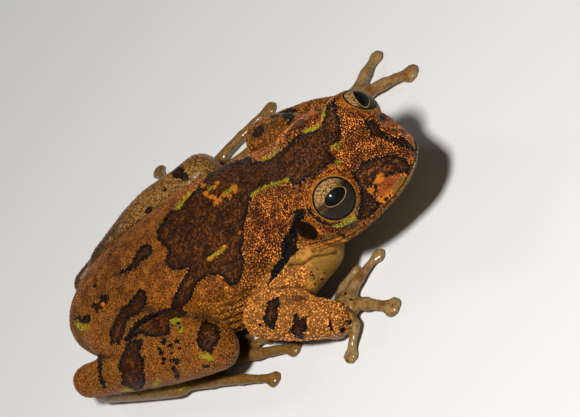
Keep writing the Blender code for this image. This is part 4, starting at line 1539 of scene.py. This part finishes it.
class Graph:
    """A node tree, with short calls for adding nodes and wiring them."""

    def __init__(self, tree: bpy.types.NodeTree) -> None:
        """Takes over a tree."""
        self.tree = tree

    def feed(self, socket: Socket, value: object) -> None:
        """Wires another node's output into a socket, or sets the socket's own value."""
        if isinstance(value, bpy.types.NodeSocket):
            self.tree.links.new(value, socket)
        elif value is not None:
            socket.default_value = value

    def node(self, kind: str, **settings: object) -> bpy.types.Node:
        """Adds a node with some of its settings."""
        made = self.tree.nodes.new(kind)
        for name, value in settings.items():
            setattr(made, name, value)
        return made

    def fed(self, kind: str, feeds: dict[str | int, object], **settings: object) -> bpy.types.Node:
        """Adds a node and feeds its sockets by name or number."""
        made = self.node(kind, **settings)
        for socket, value in feeds.items():
            self.feed(made.inputs[socket], value)
        return made

    def math(self, operation: str, a: object, b: object = None) -> Socket:
        """A step on numbers."""
        return self.fed("ShaderNodeMath", {0: a, 1: b}, operation=operation).outputs[0]

    def times(self, a: object, b: object) -> Socket:
        """Two numbers multiplied."""
        return self.math("MULTIPLY", a, b)

    def plus(self, a: object, b: object) -> Socket:
        """Two numbers added."""
        return self.math("ADD", a, b)

    def minus(self, a: object, b: object) -> Socket:
        """The second number taken from the first."""
        return self.math("SUBTRACT", a, b)

    def most(self, a: object, b: object) -> Socket:
        """The larger of two numbers."""
        return self.math("MAXIMUM", a, b)

    def least(self, a: object, b: object) -> Socket:
        """The smaller of two numbers."""
        return self.math("MINIMUM", a, b)

    def ease(self, value: object, low: float, high: float) -> Socket:
        """A smooth step from 0 at low to 1 at high, or back where low is above high."""
        feeds = {"Value": value, "From Min": low, "From Max": high}
        return self.fed("ShaderNodeMapRange", feeds, interpolation_type="SMOOTHSTEP").outputs["Result"]

    def scale(self, value: object, low: float, high: float, out_low: float, out_high: float) -> Socket:
        """A value brought from one range to another, and held inside it."""
        feeds = {"Value": value, "From Min": low, "From Max": high, "To Min": out_low, "To Max": out_high}
        return self.fed("ShaderNodeMapRange", feeds).outputs["Result"]

    def spread(self, share: object, low: float, high: float) -> Socket:
        """A share from 0 to 1 brought to a number from low to high."""
        return self.scale(share, 0.0, 1.0, low, high)

    def mix(self, share: object, a: object, b: object) -> Socket:
        """A colour between two, by share."""
        a, b = ((*colour, 1.0) if isinstance(colour, tuple) else colour for colour in (a, b))
        return self.fed("ShaderNodeMix", {0: share, 6: a, 7: b}, data_type="RGBA").outputs[2]

    def tint(self, colour: Socket, strength: Socket) -> Socket:
        """A colour made brighter or darker."""
        return self.fed("ShaderNodeVectorMath", {0: colour, "Scale": strength}, operation="SCALE").outputs[0]

    def length(self, a: Socket, b: Socket) -> Socket:
        """The length of a step of a one way and b across it."""
        return self.math("SQRT", self.plus(self.times(a, a), self.times(b, b)))

    def told(self, name: str) -> Socket:
        """A measure that the mesh tells for each of its points."""
        return self.node("ShaderNodeAttribute", attribute_name=name).outputs["Fac"]

    def millimetres(self) -> Socket:
        """Object coordinates, in millimetres."""
        return self.tint(self.node("ShaderNodeTexCoord").outputs["Object"], 1 / MM)

    def noise(self, at: Socket, scale: object, detail: float = 2.0, roughness: float = 0.5) -> Socket:
        """Cloudy noise from 0 to 1."""
        feeds = {"Vector": at, "Scale": scale, "Detail": detail, "Roughness": roughness}
        return self.fed("ShaderNodeTexNoise", feeds).outputs["Fac"]

    def bump(self, height: Socket, depth: float) -> Socket:
        """Turns heights from 0 to 1 into surface relief of some depth in millimetres."""
        feeds = {"Height": height, "Distance": depth * MM, "Strength": 1.0}
        return self.fed("ShaderNodeBump", feeds).outputs["Normal"]


def new_material(name: str, **constants: object) -> tuple[bpy.types.Material, Graph, bpy.types.Node]:
    """Makes a material whose shader carries some constant values.

    Args:
        name: The material's name.
        constants: Values for the shader's sockets, with _ for a space in a socket's name.

    Returns:
        The material, its graph and its shader.
    """
    material = bpy.data.materials.new(name)
    material.use_nodes = True
    graph = Graph(material.node_tree)
    shader = material.node_tree.nodes["Principled BSDF"]
    for socket, value in constants.items():
        shader.inputs[socket.replace("_", " ")].default_value = value
    return material, graph, shader


def add_object(name: str, mesh: bpy.types.Mesh) -> bpy.types.Object:
    """Puts a mesh in the scene."""
    made = bpy.data.objects.new(name, mesh)
    bpy.context.scene.collection.objects.link(made)
    return made


@dataclass(frozen=True)
class Eyeball:
    """One eyeball, with its iris and pupil told as places across where it looks."""

    side: int
    across: int = 96
    rows: int = 64
    cornea_rise: float = 0.12
    cornea_reach: float = math.radians(50)

    def axes(self) -> tuple[Array, Array, Array]:
        """The pupil's long way, the way across it, and where the eye looks."""
        gaze = HEAD.gaze(self.side)
        long_way = unit(np.cross((0, 0, 1), gaze)) * self.side
        return long_way, np.cross(gaze, long_way) * self.side, gaze

    def build(self) -> bpy.types.Object:
        """Makes the eyeball, standing for its node."""
        long_way, cross_way, gaze = self.axes()
        bm = bmesh.new()
        bmesh.ops.create_uvsphere(bm, u_segments=self.across, v_segments=self.rows, radius=1.0)
        mesh = bpy.data.meshes.new("eyeball")
        bm.to_mesh(mesh)
        bm.free()
        ball = np.empty((len(mesh.vertices), 3))
        mesh.vertices.foreach_get("co", ball.ravel())
        turned = np.arccos(np.clip(ball[:, 2], -1, 1))
        reach = HEAD.eye_radius + self.cornea_rise * ease(self.cornea_reach, 0.0, turned)
        third = np.cross(gaze, long_way)
        points = HEAD.eye(self.side) + (ball * reach[:, None]) @ np.array([long_way, third, gaze])
        mesh.vertices.foreach_set("co", (points * MM).ravel())
        off = points - HEAD.eye(self.side)
        for name, axis in (("along_pupil", long_way), ("across_pupil", cross_way), ("to_front", gaze)):
            tell(mesh, name, off @ axis)
        mesh.shade_smooth()
        name = "left" if self.side > 0 else "right"
        made = add_object(f"eyeball_{name}", mesh)
        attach(made, BODY)
        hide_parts(f"eye_{name}")
        return made


class Grain:
    """The fine grain that skin, grains and iris share: one node group, placed with its own sizes."""

    NAME = "fine_grain"
    SWAY_SCALE = 1.7
    RANDOMNESS = 0.9
    DOME: Ramp = (0.62, 0.08)
    GAP: Ramp = (0.36, 0.62)
    CLOUD = (0.55, 4.0, 0.6)

    @classmethod
    def group(cls) -> bpy.types.NodeTree:
        """The node group, made on first use."""
        if cls.NAME in bpy.data.node_groups:
            return bpy.data.node_groups[cls.NAME]
        tree = bpy.data.node_groups.new(cls.NAME, "ShaderNodeTree")
        tree.interface.new_socket("Place", in_out="INPUT", socket_type="NodeSocketVector")
        for name in ("Spacing", "Waver"):
            tree.interface.new_socket(name, in_out="INPUT", socket_type="NodeSocketFloat")
        for name in ("Height", "Gap", "Chance", "Cloud"):
            tree.interface.new_socket(name, in_out="OUTPUT", socket_type="NodeSocketFloat")
        graph = Graph(tree)
        given, made = graph.node("NodeGroupInput").outputs, graph.node("NodeGroupOutput").inputs
        at = given["Place"]
        sway = graph.fed("ShaderNodeTexNoise", {"Vector": at, "Scale": cls.SWAY_SCALE}).outputs["Color"]
        swaying = {0: sway, 1: given["Waver"], 2: at}
        swayed = graph.fed("ShaderNodeVectorMath", swaying, operation="MULTIPLY_ADD")
        beads = graph.fed("ShaderNodeTexVoronoi", {
            "Vector": swayed.outputs[0],
            "Scale": graph.math("DIVIDE", 1.0, given["Spacing"]),
            "Randomness": cls.RANDOMNESS,
        }).outputs
        chance = graph.fed("ShaderNodeSeparateColor", {0: beads["Color"]}).outputs[0]
        for name, value in (
            ("Height", graph.ease(beads["Distance"], *cls.DOME)),
            ("Gap", graph.ease(beads["Distance"], *cls.GAP)),
            ("Chance", chance),
            ("Cloud", graph.noise(at, *cls.CLOUD)),
        ):
            graph.feed(made[name], value)
        return tree

    @classmethod
    def put(cls, graph: Graph, at: Socket, spacing: float, waver: float) -> Sockets:
        """Places the group in a material's graph.

        Args:
            graph: The material's graph.
            at: Places in millimetres.
            spacing: Distance from one grain to the next.
            waver: How far the grains stray from an even spread.

        Returns:
            The group's outputs by name.
        """
        feeds = {"Place": at, "Spacing": spacing, "Waver": waver}
        made = graph.fed("ShaderNodeGroup", feeds, node_tree=cls.group())
        return {socket.name: socket for socket in made.outputs}


@dataclass(frozen=True)
class SkinFinish:
    """The wet, grained skin: tawny, with dark blotches edged in black and touches of lime."""

    name: str = "wet_skin"
    gloss: float = 0.08
    roughness: float = 0.2
    raised: bool = False
    tawny_low: Colour = (0.18, 0.04, 0.004)
    tawny_high: Colour = (0.67, 0.19, 0.018)
    ochre: Colour = (0.36, 0.135, 0.009)
    rear_low: Colour = (0.09, 0.03, 0.003)
    rear_high: Colour = (0.26, 0.092, 0.009)
    # The right arm's brighter orange, and the legs' brown, which the left arm also takes as painted shade.
    arm: Colour = (0.74, 0.28, 0.05)
    leg: Colour = (0.25, 0.09, 0.009)
    # Painted shade: the left leg where the camera sees it, painted this dark brown over its own paler tan.
    shaded_tan: Colour = (0.085, 0.038, 0.009)
    # Painted highlight: the seen left leg is painted lighter towards its knee.
    knee: Colour = (0.34, 0.16, 0.033)
    digit: Colour = (0.24, 0.145, 0.05)
    digit_brown: Colour = (0.1, 0.04, 0.008)
    foot: Colour = (0.15, 0.072, 0.012)
    throat: Colour = (0.16, 0.075, 0.008)
    olive: Colour = (0.23, 0.115, 0.02)
    belly: Colour = (0.42, 0.31, 0.16)
    # The dark blotches' own colour, also used for the painted shade between the grains and in the skin's
    # hollows.
    dark: Colour = (0.018, 0.0048, 0.0005)
    dark_mottle: Colour = (0.09, 0.024, 0.002)
    # Painted highlight: the orange brown that some beads inside the dark blotches are lit up to.
    lit_dark_bead: Colour = (0.3, 0.085, 0.01)
    black: Colour = (0.0012, 0.001, 0.001)
    lime: Colour = (0.38, 0.44, 0.007)
    orange: Colour = (0.66, 0.19, 0.008)
    red: Colour = (0.36, 0.075, 0.010)
    cream: Colour = (0.22, 0.1, 0.02)
    gold: Colour = (0.27, 0.115, 0.012)
    drum: Colour = (0.006, 0.0018, 0.0004)
    coat_roughness: float = 0.16
    softness: float = 0.04
    soft_reach: Colour = (1.0, 0.35, 0.15)
    soft_scale: float = 0.3
    beads: Ramp = (0.28, 0.12)
    flecks: Ramp = (0.15, 0.05)
    # Painted shade in the gaps between the grains and a painted highlight on the raised grains are set by the
    # next four.
    raised_gap: float = 0.1
    raised_highlight: Ramp = (1.0, 1.4)
    gap_crisp: Ramp = (0.4, 1.25)
    gap_shade_digit: Ramp = (0.75, 0.12)
    dull_rear: Ramp = (0.6, 0.0)
    dull_tone: float = 0.7
    dull_roughness: float = 0.45
    wetness: float = 0.45
    relief: float = 0.09
    bead_relief: float = 0.75
    digit_relief: float = 0.12
    fleck_relief: float = 0.3
    lump_relief: float = 0.5
    lump_scale: float = 1.4
    cloud_edge: Ramp = (0.36, 0.66)
    patch_edge: Ramp = (0.42, 0.6)
    beside_dark: Ramp = (0.95, 0.1)
    beside_share: float = 0.5
    contrast: Ramp = (0.4, 1.2)
    speck_chance: Ramp = (0.86, 0.9)
    speck_share: Ramp = (0.5, 0.05)
    bead_jag: float = 0.26
    fine_jag: float = 0.45
    fine_jag_scale: float = 2.6
    lime_patches: tuple[float, float, float, float] = (0.34, 0.5, 0.1, 1.0)
    lime_head: Ramp = (0.5, 0.95)
    mark_edge: Ramp = (0.14, -0.08)
    mark_gap_shade: float = 0.3
    # Painted shade in the gaps between the beads, laid over the markings too.
    dark_edge: Ramp = (0.03, -0.05)
    bright_edge: Ramp = (-0.02, 0.12)
    mottle_edge: Ramp = (-0.3, -0.9)
    mottle_cloud: Ramp = (0.4, 0.62)
    mottle_beads: tuple[float, float, float, float] = (0.3, 1.0, 0.1, 1.6)
    lit_beads: Ramp = (0.72, 0.9)
    lit_head: Ramp = (0.22, 0.42)
    rim_edge: Ramp = (-0.36, -0.2)
    rim_share: float = 0.96
    spot_edge: Ramp = (0.08, -0.06)
    spot_jag: float = 0.6

    def build(self) -> bpy.types.Material:
        """Makes the material."""
        material, graph, shader = new_material(
            self.name,
            Specular_IOR_Level=self.gloss,
            Coat_Roughness=self.coat_roughness,
            Subsurface_Weight=self.softness,
            Subsurface_Radius=self.soft_reach,
            Subsurface_Scale=self.soft_scale * MM,
        )
        at = graph.millimetres()
        beads, flecks = Grain.put(graph, at, *self.beads), Grain.put(graph, at, *self.flecks)
        crisp, digit = graph.told("crisp"), graph.told("digit")
        # Painted shade: the gaps between the beads are darkened, and the bare skin between the raised grains
        # more so, most towards the front; on the raised grains this shade is cut to a tenth. The same mask
        # also makes those places rougher.
        if self.raised:
            beads["Chance"] = graph.told("tone")
            beads["Gap"] = graph.times(beads["Gap"], self.raised_gap)
        else:
            between = graph.times(graph.told("grained"), graph.spread(crisp, *self.gap_crisp))
            beads["Gap"] = graph.most(beads["Gap"], between)
        colour = self.marked(graph, at, beads, flecks, self.ground(graph, at, beads, flecks))
        graph.feed(shader.inputs["Base Color"], colour)
        dull = graph.most(beads["Gap"], graph.spread(crisp, *self.dull_rear))
        if self.raised:
            dull = graph.most(dull, graph.times(beads["Chance"], self.dull_tone))
        graph.feed(shader.inputs["Roughness"], graph.spread(dull, self.roughness, self.dull_roughness))
        wet = graph.times(graph.most(digit, graph.told("shaded_tan")), self.wetness)
        graph.feed(shader.inputs["Coat Weight"], wet)
        bead_relief = 0.0 if self.raised else self.bead_relief
        relief = graph.times(beads["Height"], graph.spread(digit, bead_relief, self.digit_relief))
        relief = graph.plus(relief, graph.times(flecks["Height"], self.fleck_relief))
        lumps = graph.noise(at, self.lump_scale, 3.0)
        relief = graph.plus(relief, graph.times(lumps, self.lump_relief))
        graph.feed(shader.inputs["Normal"], graph.bump(relief, self.relief))
        return material

    def ground(self, graph: Graph, at: Socket, beads: Sockets, flecks: Sockets) -> Socket:
        """The skin's colour before its markings: its own tones, with painted shade between the grains, on the
        seen left leg and on the left arm, and painted highlight on the raised grains and towards the left
        knee.
        """
        colour = graph.mix(graph.ease(beads["Cloud"], *self.cloud_edge), self.tawny_low, self.tawny_high)
        patches = graph.ease(graph.noise(at, 0.45), *self.patch_edge)
        beside = graph.times(graph.ease(graph.told("dark"), *self.beside_dark), patches)
        colour = graph.mix(graph.times(beside, self.beside_share), colour, self.ochre)
        patches = graph.ease(graph.noise(at, 0.5, 4.0, 0.65), *self.patch_edge)
        rear = graph.mix(patches, self.rear_low, self.rear_high)
        digit = graph.mix(graph.ease(flecks["Cloud"], 0.45, 0.7), self.digit, self.digit_brown)
        for name, tone, share in (
            ("flank", self.ochre, 0.75),
            ("rear", rear, 0.8),
            # The legs' brown, laid on the left arm too as painted shade; the right arm alone takes the
            # brighter orange.
            ("leg", self.leg, 0.7),
            ("arm", self.arm, 0.8),
            ("throat", self.throat, 0.9),
            ("digit", digit, 0.95),
            ("foot", self.foot, 0.75),
            # The seen left leg painted in shade, and lighter towards its knee as painted highlight.
            ("shaded_tan", self.shaded_tan, 0.95),
            ("knee", self.knee, 0.9),
            ("under", self.belly, 0.9),
        ):
            colour = graph.mix(graph.times(graph.told(name), share), colour, tone)
        crisp = graph.told("crisp")
        # Random tone from bead to bead; on the raised grains also a painted highlight that tints them
        # lighter, up to 1.4 times towards the front.
        bright = graph.times(graph.minus(beads["Chance"], 0.5), graph.spread(crisp, *self.contrast))
        bright = graph.plus(bright, graph.spread(crisp, *self.raised_highlight) if self.raised else 1.0)
        colour = graph.tint(colour, bright)
        # Painted shade in the gaps between the beads, weaker on the digits.
        gap_shade = graph.times(beads["Gap"], graph.spread(graph.told("digit"), *self.gap_shade_digit))
        colour = graph.mix(gap_shade, colour, self.dark)
        specks = graph.spread(graph.told("under"), *self.speck_share)
        specks = graph.times(graph.ease(flecks["Chance"], *self.speck_chance), specks)
        return graph.mix(specks, colour, self.dark)

    def marked(
        self, graph: Graph, at: Socket, beads: Sockets, flecks: Sockets, colour: Socket
    ) -> Socket:
        """The skin's colour with its markings laid over, and painted shade along the mouth's groove and in
        the skin's creases and hollows.
        """
        fine_jag = graph.times(graph.minus(graph.noise(at, self.fine_jag_scale, 3.0), 0.5), self.fine_jag)
        jag = graph.plus(graph.times(graph.minus(beads["Chance"], 0.5), self.bead_jag), fine_jag)
        olive = graph.times(graph.ease(flecks["Cloud"], 0.5, 0.62), 0.5)
        olive = graph.mix(olive, self.olive, self.arm)
        colour = graph.mix(graph.ease(graph.told("olive"), 0.35, -0.25), colour, olive)
        head = graph.told("head")
        patchy = graph.scale(graph.noise(at, 1.3), *self.lime_patches)
        patchy = graph.times(patchy, graph.spread(head, *self.lime_head))
        for name, tone, strength in (
            ("lime", self.lime, patchy),
            ("cream", self.cream, 0.85),
            ("red", self.red, 0.85),
            ("orange", self.orange, 0.92),
        ):
            over = graph.ease(graph.plus(graph.told(name), jag), *self.mark_edge)
            # Painted shade in the gaps between the beads, over the markings too.
            tone = graph.mix(graph.times(beads["Gap"], self.mark_gap_shade), tone, self.dark)
            colour = graph.mix(graph.times(over, strength), colour, tone)
        colour = self.darkened(graph, beads, jag, colour)
        spot = graph.plus(graph.told("black"), graph.times(jag, self.spot_jag))
        colour = graph.mix(graph.ease(spot, *self.spot_edge), colour, self.black)
        for name, low, high, share, tone in (
            ("drum", 0.12, -0.12, 1.0, self.drum),
            ("lid", 0.28, 0.16, 0.85, self.gold),
            ("lid", 0.12, 0.04, 1.0, self.black),
            # Painted shade: a black line along the mouth's groove.
            ("mouth", 0.17, 0.05, 1.0, self.black),
            # Painted shade in the skin's creases and hollows.
            ("hollow", 0.25, 1.2, 0.75, self.dark),
        ):
            over = graph.times(graph.ease(graph.told(name), low, high), share)
            colour = graph.mix(over, colour, tone)
        return colour

    def darkened(self, graph: Graph, beads: Sockets, jag: Socket, colour: Socket) -> Socket:
        """The skin's colour with its dark blotches, mottled inside, with a painted highlight on some of their
        beads, and edged in black.
        """
        off = graph.plus(graph.told("dark"), jag)
        bright = graph.least(graph.least(graph.told("lime"), graph.told("orange")), graph.told("red"))
        bright = graph.ease(graph.plus(bright, jag), *self.bright_edge)
        fill = graph.times(graph.ease(off, *self.dark_edge), bright)
        cloud = graph.ease(beads["Cloud"], *self.mottle_cloud)
        mottle = graph.times(cloud, graph.ease(off, *self.mottle_edge))
        mottle = graph.times(mottle, graph.scale(beads["Chance"], *self.mottle_beads))
        inside = graph.mix(mottle, self.dark, self.dark_mottle)
        # Painted highlight: some beads inside the dark blotches are lit up to an orange brown, more on the
        # head.
        lit = graph.spread(graph.told("head"), *self.lit_head)
        lit = graph.times(graph.ease(beads["Chance"], *self.lit_beads), lit)
        inside = graph.mix(lit, inside, self.lit_dark_bead)
        rim = graph.ease(graph.plus(off, graph.times(jag, 0.5)), *self.rim_edge)
        inside = graph.mix(graph.times(rim, self.rim_share), inside, self.black)
        return graph.mix(fill, colour, inside)


@dataclass(frozen=True)
class IrisFinish:
    """The eye: a bronze iris with fine dark veins, a level oval pupil with a gold rim, and a clear coat."""

    name: str = "bronze_iris"
    bronze: Colour = (0.009, 0.0055, 0.0012)
    pale: Colour = (0.54, 0.29, 0.09)
    vein: Colour = (0.02, 0.012, 0.006)
    black: Colour = (0.003, 0.003, 0.003)
    gold: Colour = (0.5, 0.28, 0.09)
    white: Colour = (0.10, 0.075, 0.05)
    pupil: Ramp = (1.4, 0.86)
    pupil_shift: tuple[float, float] = (-0.34, 0.11)
    pupil_roll: float = math.radians(11.6)
    pupil_edge: Ramp = (1.05, 0.99)
    rim_edge: Ramp = (1.1, 1.05)
    rim_shares: tuple[float, float, float, float] = (-0.4, 0.5, 0.9, 0.35)
    rim_end: Ramp = (1.5, 1.2)
    iris_edge: Ramp = (2.28, 2.42)
    front_edge: Ramp = (0.7, 0.4)
    veins: Ramp = (0.15, 0.2)
    vein_share: float = 0.95
    # How the iris pales towards its top, partly its own tone and partly painted light from above.
    light_slant: float = 0.15
    light_edge: Ramp = (-0.2, 1.35)
    light_share: float = 0.85
    streak_width: Ramp = (0.55, 0.1)
    streak_start: Ramp = (1.3, 1.6)
    streak_share: float = 0.9

    def build(self) -> bpy.types.Material:
        """Makes the material."""
        material, graph, shader = new_material(
            self.name, Coat_Weight=0.2, Coat_Roughness=0.02, Roughness=0.5, Specular_IOR_Level=0.05
        )
        along, across = graph.told("along_pupil"), graph.told("across_pupil")
        a, b = graph.minus(along, self.pupil_shift[0]), graph.minus(across, self.pupil_shift[1])
        c, s = math.cos(self.pupil_roll), math.sin(self.pupil_roll)
        far = graph.plus(graph.times(a, c), graph.times(b, s))
        high = graph.minus(graph.times(b, c), graph.times(a, s))
        oval = graph.length(*(graph.math("DIVIDE", way, size) for way, size in zip((far, high), self.pupil)))
        veins = Grain.put(graph, graph.millimetres(), *self.veins)["Gap"]
        # The iris is paler towards its top: partly its own tone, partly painted light from above.
        light = graph.ease(graph.plus(across, graph.times(along, self.light_slant)), *self.light_edge)
        colour = graph.mix(graph.times(light, self.light_share), self.bronze, self.pale)
        streak = graph.ease(graph.math("ABSOLUTE", high), *self.streak_width)
        streak = graph.times(streak, graph.ease(far, *self.streak_start))
        rim = graph.times(graph.ease(oval, *self.rim_edge), graph.scale(high, *self.rim_shares))
        rim = graph.times(rim, graph.ease(far, *self.rim_end))
        for share, tone in (
            (graph.times(veins, self.vein_share), self.vein),
            (graph.times(streak, self.streak_share), self.vein),
            (rim, self.gold),
            (graph.ease(oval, *self.pupil_edge), self.black),
            (graph.ease(graph.length(along, across), *self.iris_edge), self.black),
            (graph.ease(graph.told("to_front"), *self.front_edge), self.white),
        ):
            colour = graph.mix(share, colour, tone)
        graph.feed(shader.inputs["Base Color"], colour)
        return material


@dataclass(frozen=True)
class Grains:
    """The small raised grains of the skin, scattered over a part of it that a measure tells."""

    name: str
    bed: str
    spacing: float
    radius: float
    flatness: float = 0.42
    least: float = 0.65
    most: float = 1.2
    crowding: float = 1.3
    seed: int = 11

    def tree(self, material: bpy.types.Material) -> bpy.types.NodeTree:
        """The geometry tree that scatters the grains."""
        tree = bpy.data.node_groups.new("scattered_grains", "GeometryNodeTree")
        tree.interface.new_socket("Skin", in_out="INPUT", socket_type="NodeSocketGeometry")
        for name in ("Spacing", "Radius", "Flatness", "Density"):
            tree.interface.new_socket(name, in_out="INPUT", socket_type="NodeSocketFloat")
        tree.interface.new_socket("Grains", in_out="OUTPUT", socket_type="NodeSocketGeometry")
        graph = Graph(tree)
        given, made = graph.node("NodeGroupInput").outputs, graph.node("NodeGroupOutput").inputs
        grained = graph.fed("GeometryNodeInputNamedAttribute", {"Name": self.bed}, data_type="FLOAT")
        scatter = graph.fed("GeometryNodeDistributePointsOnFaces", {
            "Mesh": given["Skin"],
            "Distance Min": given["Spacing"],
            "Density Max": given["Density"],
            "Density Factor": grained.outputs["Attribute"],
            "Seed": self.seed,
        }, distribute_method="POISSON").outputs
        bead = graph.fed("GeometryNodeMeshIcoSphere", {"Subdivisions": 1, "Radius": given["Radius"]})
        squeeze = graph.fed("ShaderNodeCombineXYZ", {"X": 1.0, "Y": 1.0, "Z": given["Flatness"]})
        flat = graph.fed("GeometryNodeTransform", {
            "Geometry": bead.outputs["Mesh"],
            "Scale": squeeze.outputs[0],
        })
        smooth = graph.fed("GeometryNodeSetShadeSmooth", {"Geometry": flat.outputs["Geometry"]})
        chance = graph.fed("FunctionNodeRandomValue", {
            2: self.least,
            3: self.most,
            "Seed": self.seed,
        }, data_type="FLOAT")
        sown = graph.fed("GeometryNodeInstanceOnPoints", {
            "Points": scatter["Points"],
            "Instance": smooth.outputs["Geometry"],
            "Rotation": scatter["Rotation"],
            "Scale": chance.outputs[1],
        })
        tone = graph.fed("FunctionNodeRandomValue", {"Seed": self.seed + 1}, data_type="FLOAT")
        toned = graph.fed("GeometryNodeStoreNamedAttribute", {
            "Geometry": sown.outputs["Instances"],
            "Name": "tone",
            "Value": tone.outputs[1],
        }, data_type="FLOAT", domain="INSTANCE")
        real = graph.fed("GeometryNodeRealizeInstances", {"Geometry": toned.outputs["Geometry"]})
        dressed = graph.fed("GeometryNodeSetMaterial", {
            "Geometry": real.outputs["Geometry"],
            "Material": material,
        })
        graph.feed(made["Grains"], dressed.outputs["Geometry"])
        return tree

    def build(self, skin: bpy.types.Object, material: bpy.types.Material) -> bpy.types.Object:
        """Makes the grains as one plain mesh on the skin."""
        tree = self.tree(material)
        bed = add_object("grain_bed", skin.data.copy())
        sower = bed.modifiers.new("grains", "NODES")
        sower.node_group = tree
        sizes = {
            "Spacing": self.spacing * MM,
            "Radius": self.radius * MM,
            "Flatness": self.flatness,
            "Density": self.crowding / (self.spacing * MM) ** 2,
        }
        for item in tree.interface.items_tree:
            if item.in_out == "INPUT" and item.name in sizes:
                sower[item.identifier] = sizes[item.name]
        graph = bpy.context.evaluated_depsgraph_get()
        mesh = bpy.data.meshes.new_from_object(bed.evaluated_get(graph))
        bed.modifiers.remove(sower)
        bpy.data.objects.remove(bed)
        grains = add_object(self.name, mesh)
        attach(grains, BODY)
        return grains


@dataclass(frozen=True)
class Lamp:
    """One soft square lamp: its name, its place, its width and its power in watts."""

    name: str
    at: tuple[float, float, float]
    width: float
    power: float


@dataclass(frozen=True)
class Studio:
    """A plain pale floor and plain soft light."""

    floor_reach: float = 600.0
    floor_colour: Colour = (0.62, 0.61, 0.59)
    sky: Colour = (1.0, 0.95, 0.88)
    sky_strength: float = 0.06
    tones: str = "Standard"
    lamps: tuple[Lamp, ...] = (
        Lamp("key", (-150, -110, 290), 44, 1.6),
        Lamp("rear", (120, 220, 200), 60, 0.1),
    )

    def build(self) -> None:
        """Makes the floor, the sky and the lamps."""
        bm = bmesh.new()
        bmesh.ops.create_grid(bm, x_segments=1, y_segments=1, size=self.floor_reach * MM)
        mesh = bpy.data.meshes.new("floor")
        bm.to_mesh(mesh)
        bm.free()
        material, _, shader = new_material("floor", Roughness=0.7)
        shader.inputs["Base Color"].default_value = (*self.floor_colour, 1.0)
        mesh.materials.append(material)
        add_object("floor", mesh)
        world = bpy.data.worlds.new("studio")
        world.use_nodes = True
        background = world.node_tree.nodes["Background"]
        background.inputs["Color"].default_value = (*self.sky, 1.0)
        background.inputs["Strength"].default_value = self.sky_strength
        bpy.context.scene.world = world
        bpy.context.scene.view_settings.view_transform = self.tones
        for lamp in self.lamps:
            self.hang(lamp)

    def hang(self, lamp: Lamp) -> None:
        """Hangs one lamp, turned to the frog."""
        data = bpy.data.lights.new(lamp.name, "AREA")
        data.size = lamp.width * MM
        data.energy = lamp.power
        made = bpy.data.objects.new(lamp.name, data)
        bpy.context.scene.collection.objects.link(made)
        aim = Vector(place(*VIEW.target) - np.array(lamp.at, float))
        turn = aim.to_track_quat("-Z", "Y").to_matrix().to_4x4()
        made.matrix_world = Matrix.Translation([c * MM for c in lamp.at]) @ turn


def main() -> None:
    """Builds the model's looks in order."""
    logging.basicConfig(level=logging.INFO, format="%(message)s")
    VIEW.build()
    Studio().build()
    finish = SkinFinish()
    skin = Flesh().build()
    skin.data.materials.append(finish.build())
    pieces = [skin]
    for grains, grain_finish in (
        (Grains("head_grains", "head_grained", 0.2, 0.115), SkinFinish("head_grain", 0.42, 0.08, True)),
        (Grains("front_grains", "front_grained", 0.22, 0.127), SkinFinish("front_grain", 0.4, 0.08, True)),
        (Grains("rear_grains", "rear_grained", 0.27, 0.15), SkinFinish("rear_grain", 0.2, 0.2, True)),
    ):
        pieces.append(grains.build(skin, grain_finish.build()))
    iris = IrisFinish().build()
    for side in (1, -1):
        eyeball = Eyeball(side).build()
        eyeball.data.materials.append(iris)
        pieces.append(eyeball)
    for piece in pieces:
        LOG.info("%s: %d faces", piece.name, len(piece.data.polygons))


if __name__ == "__main__":
    main()
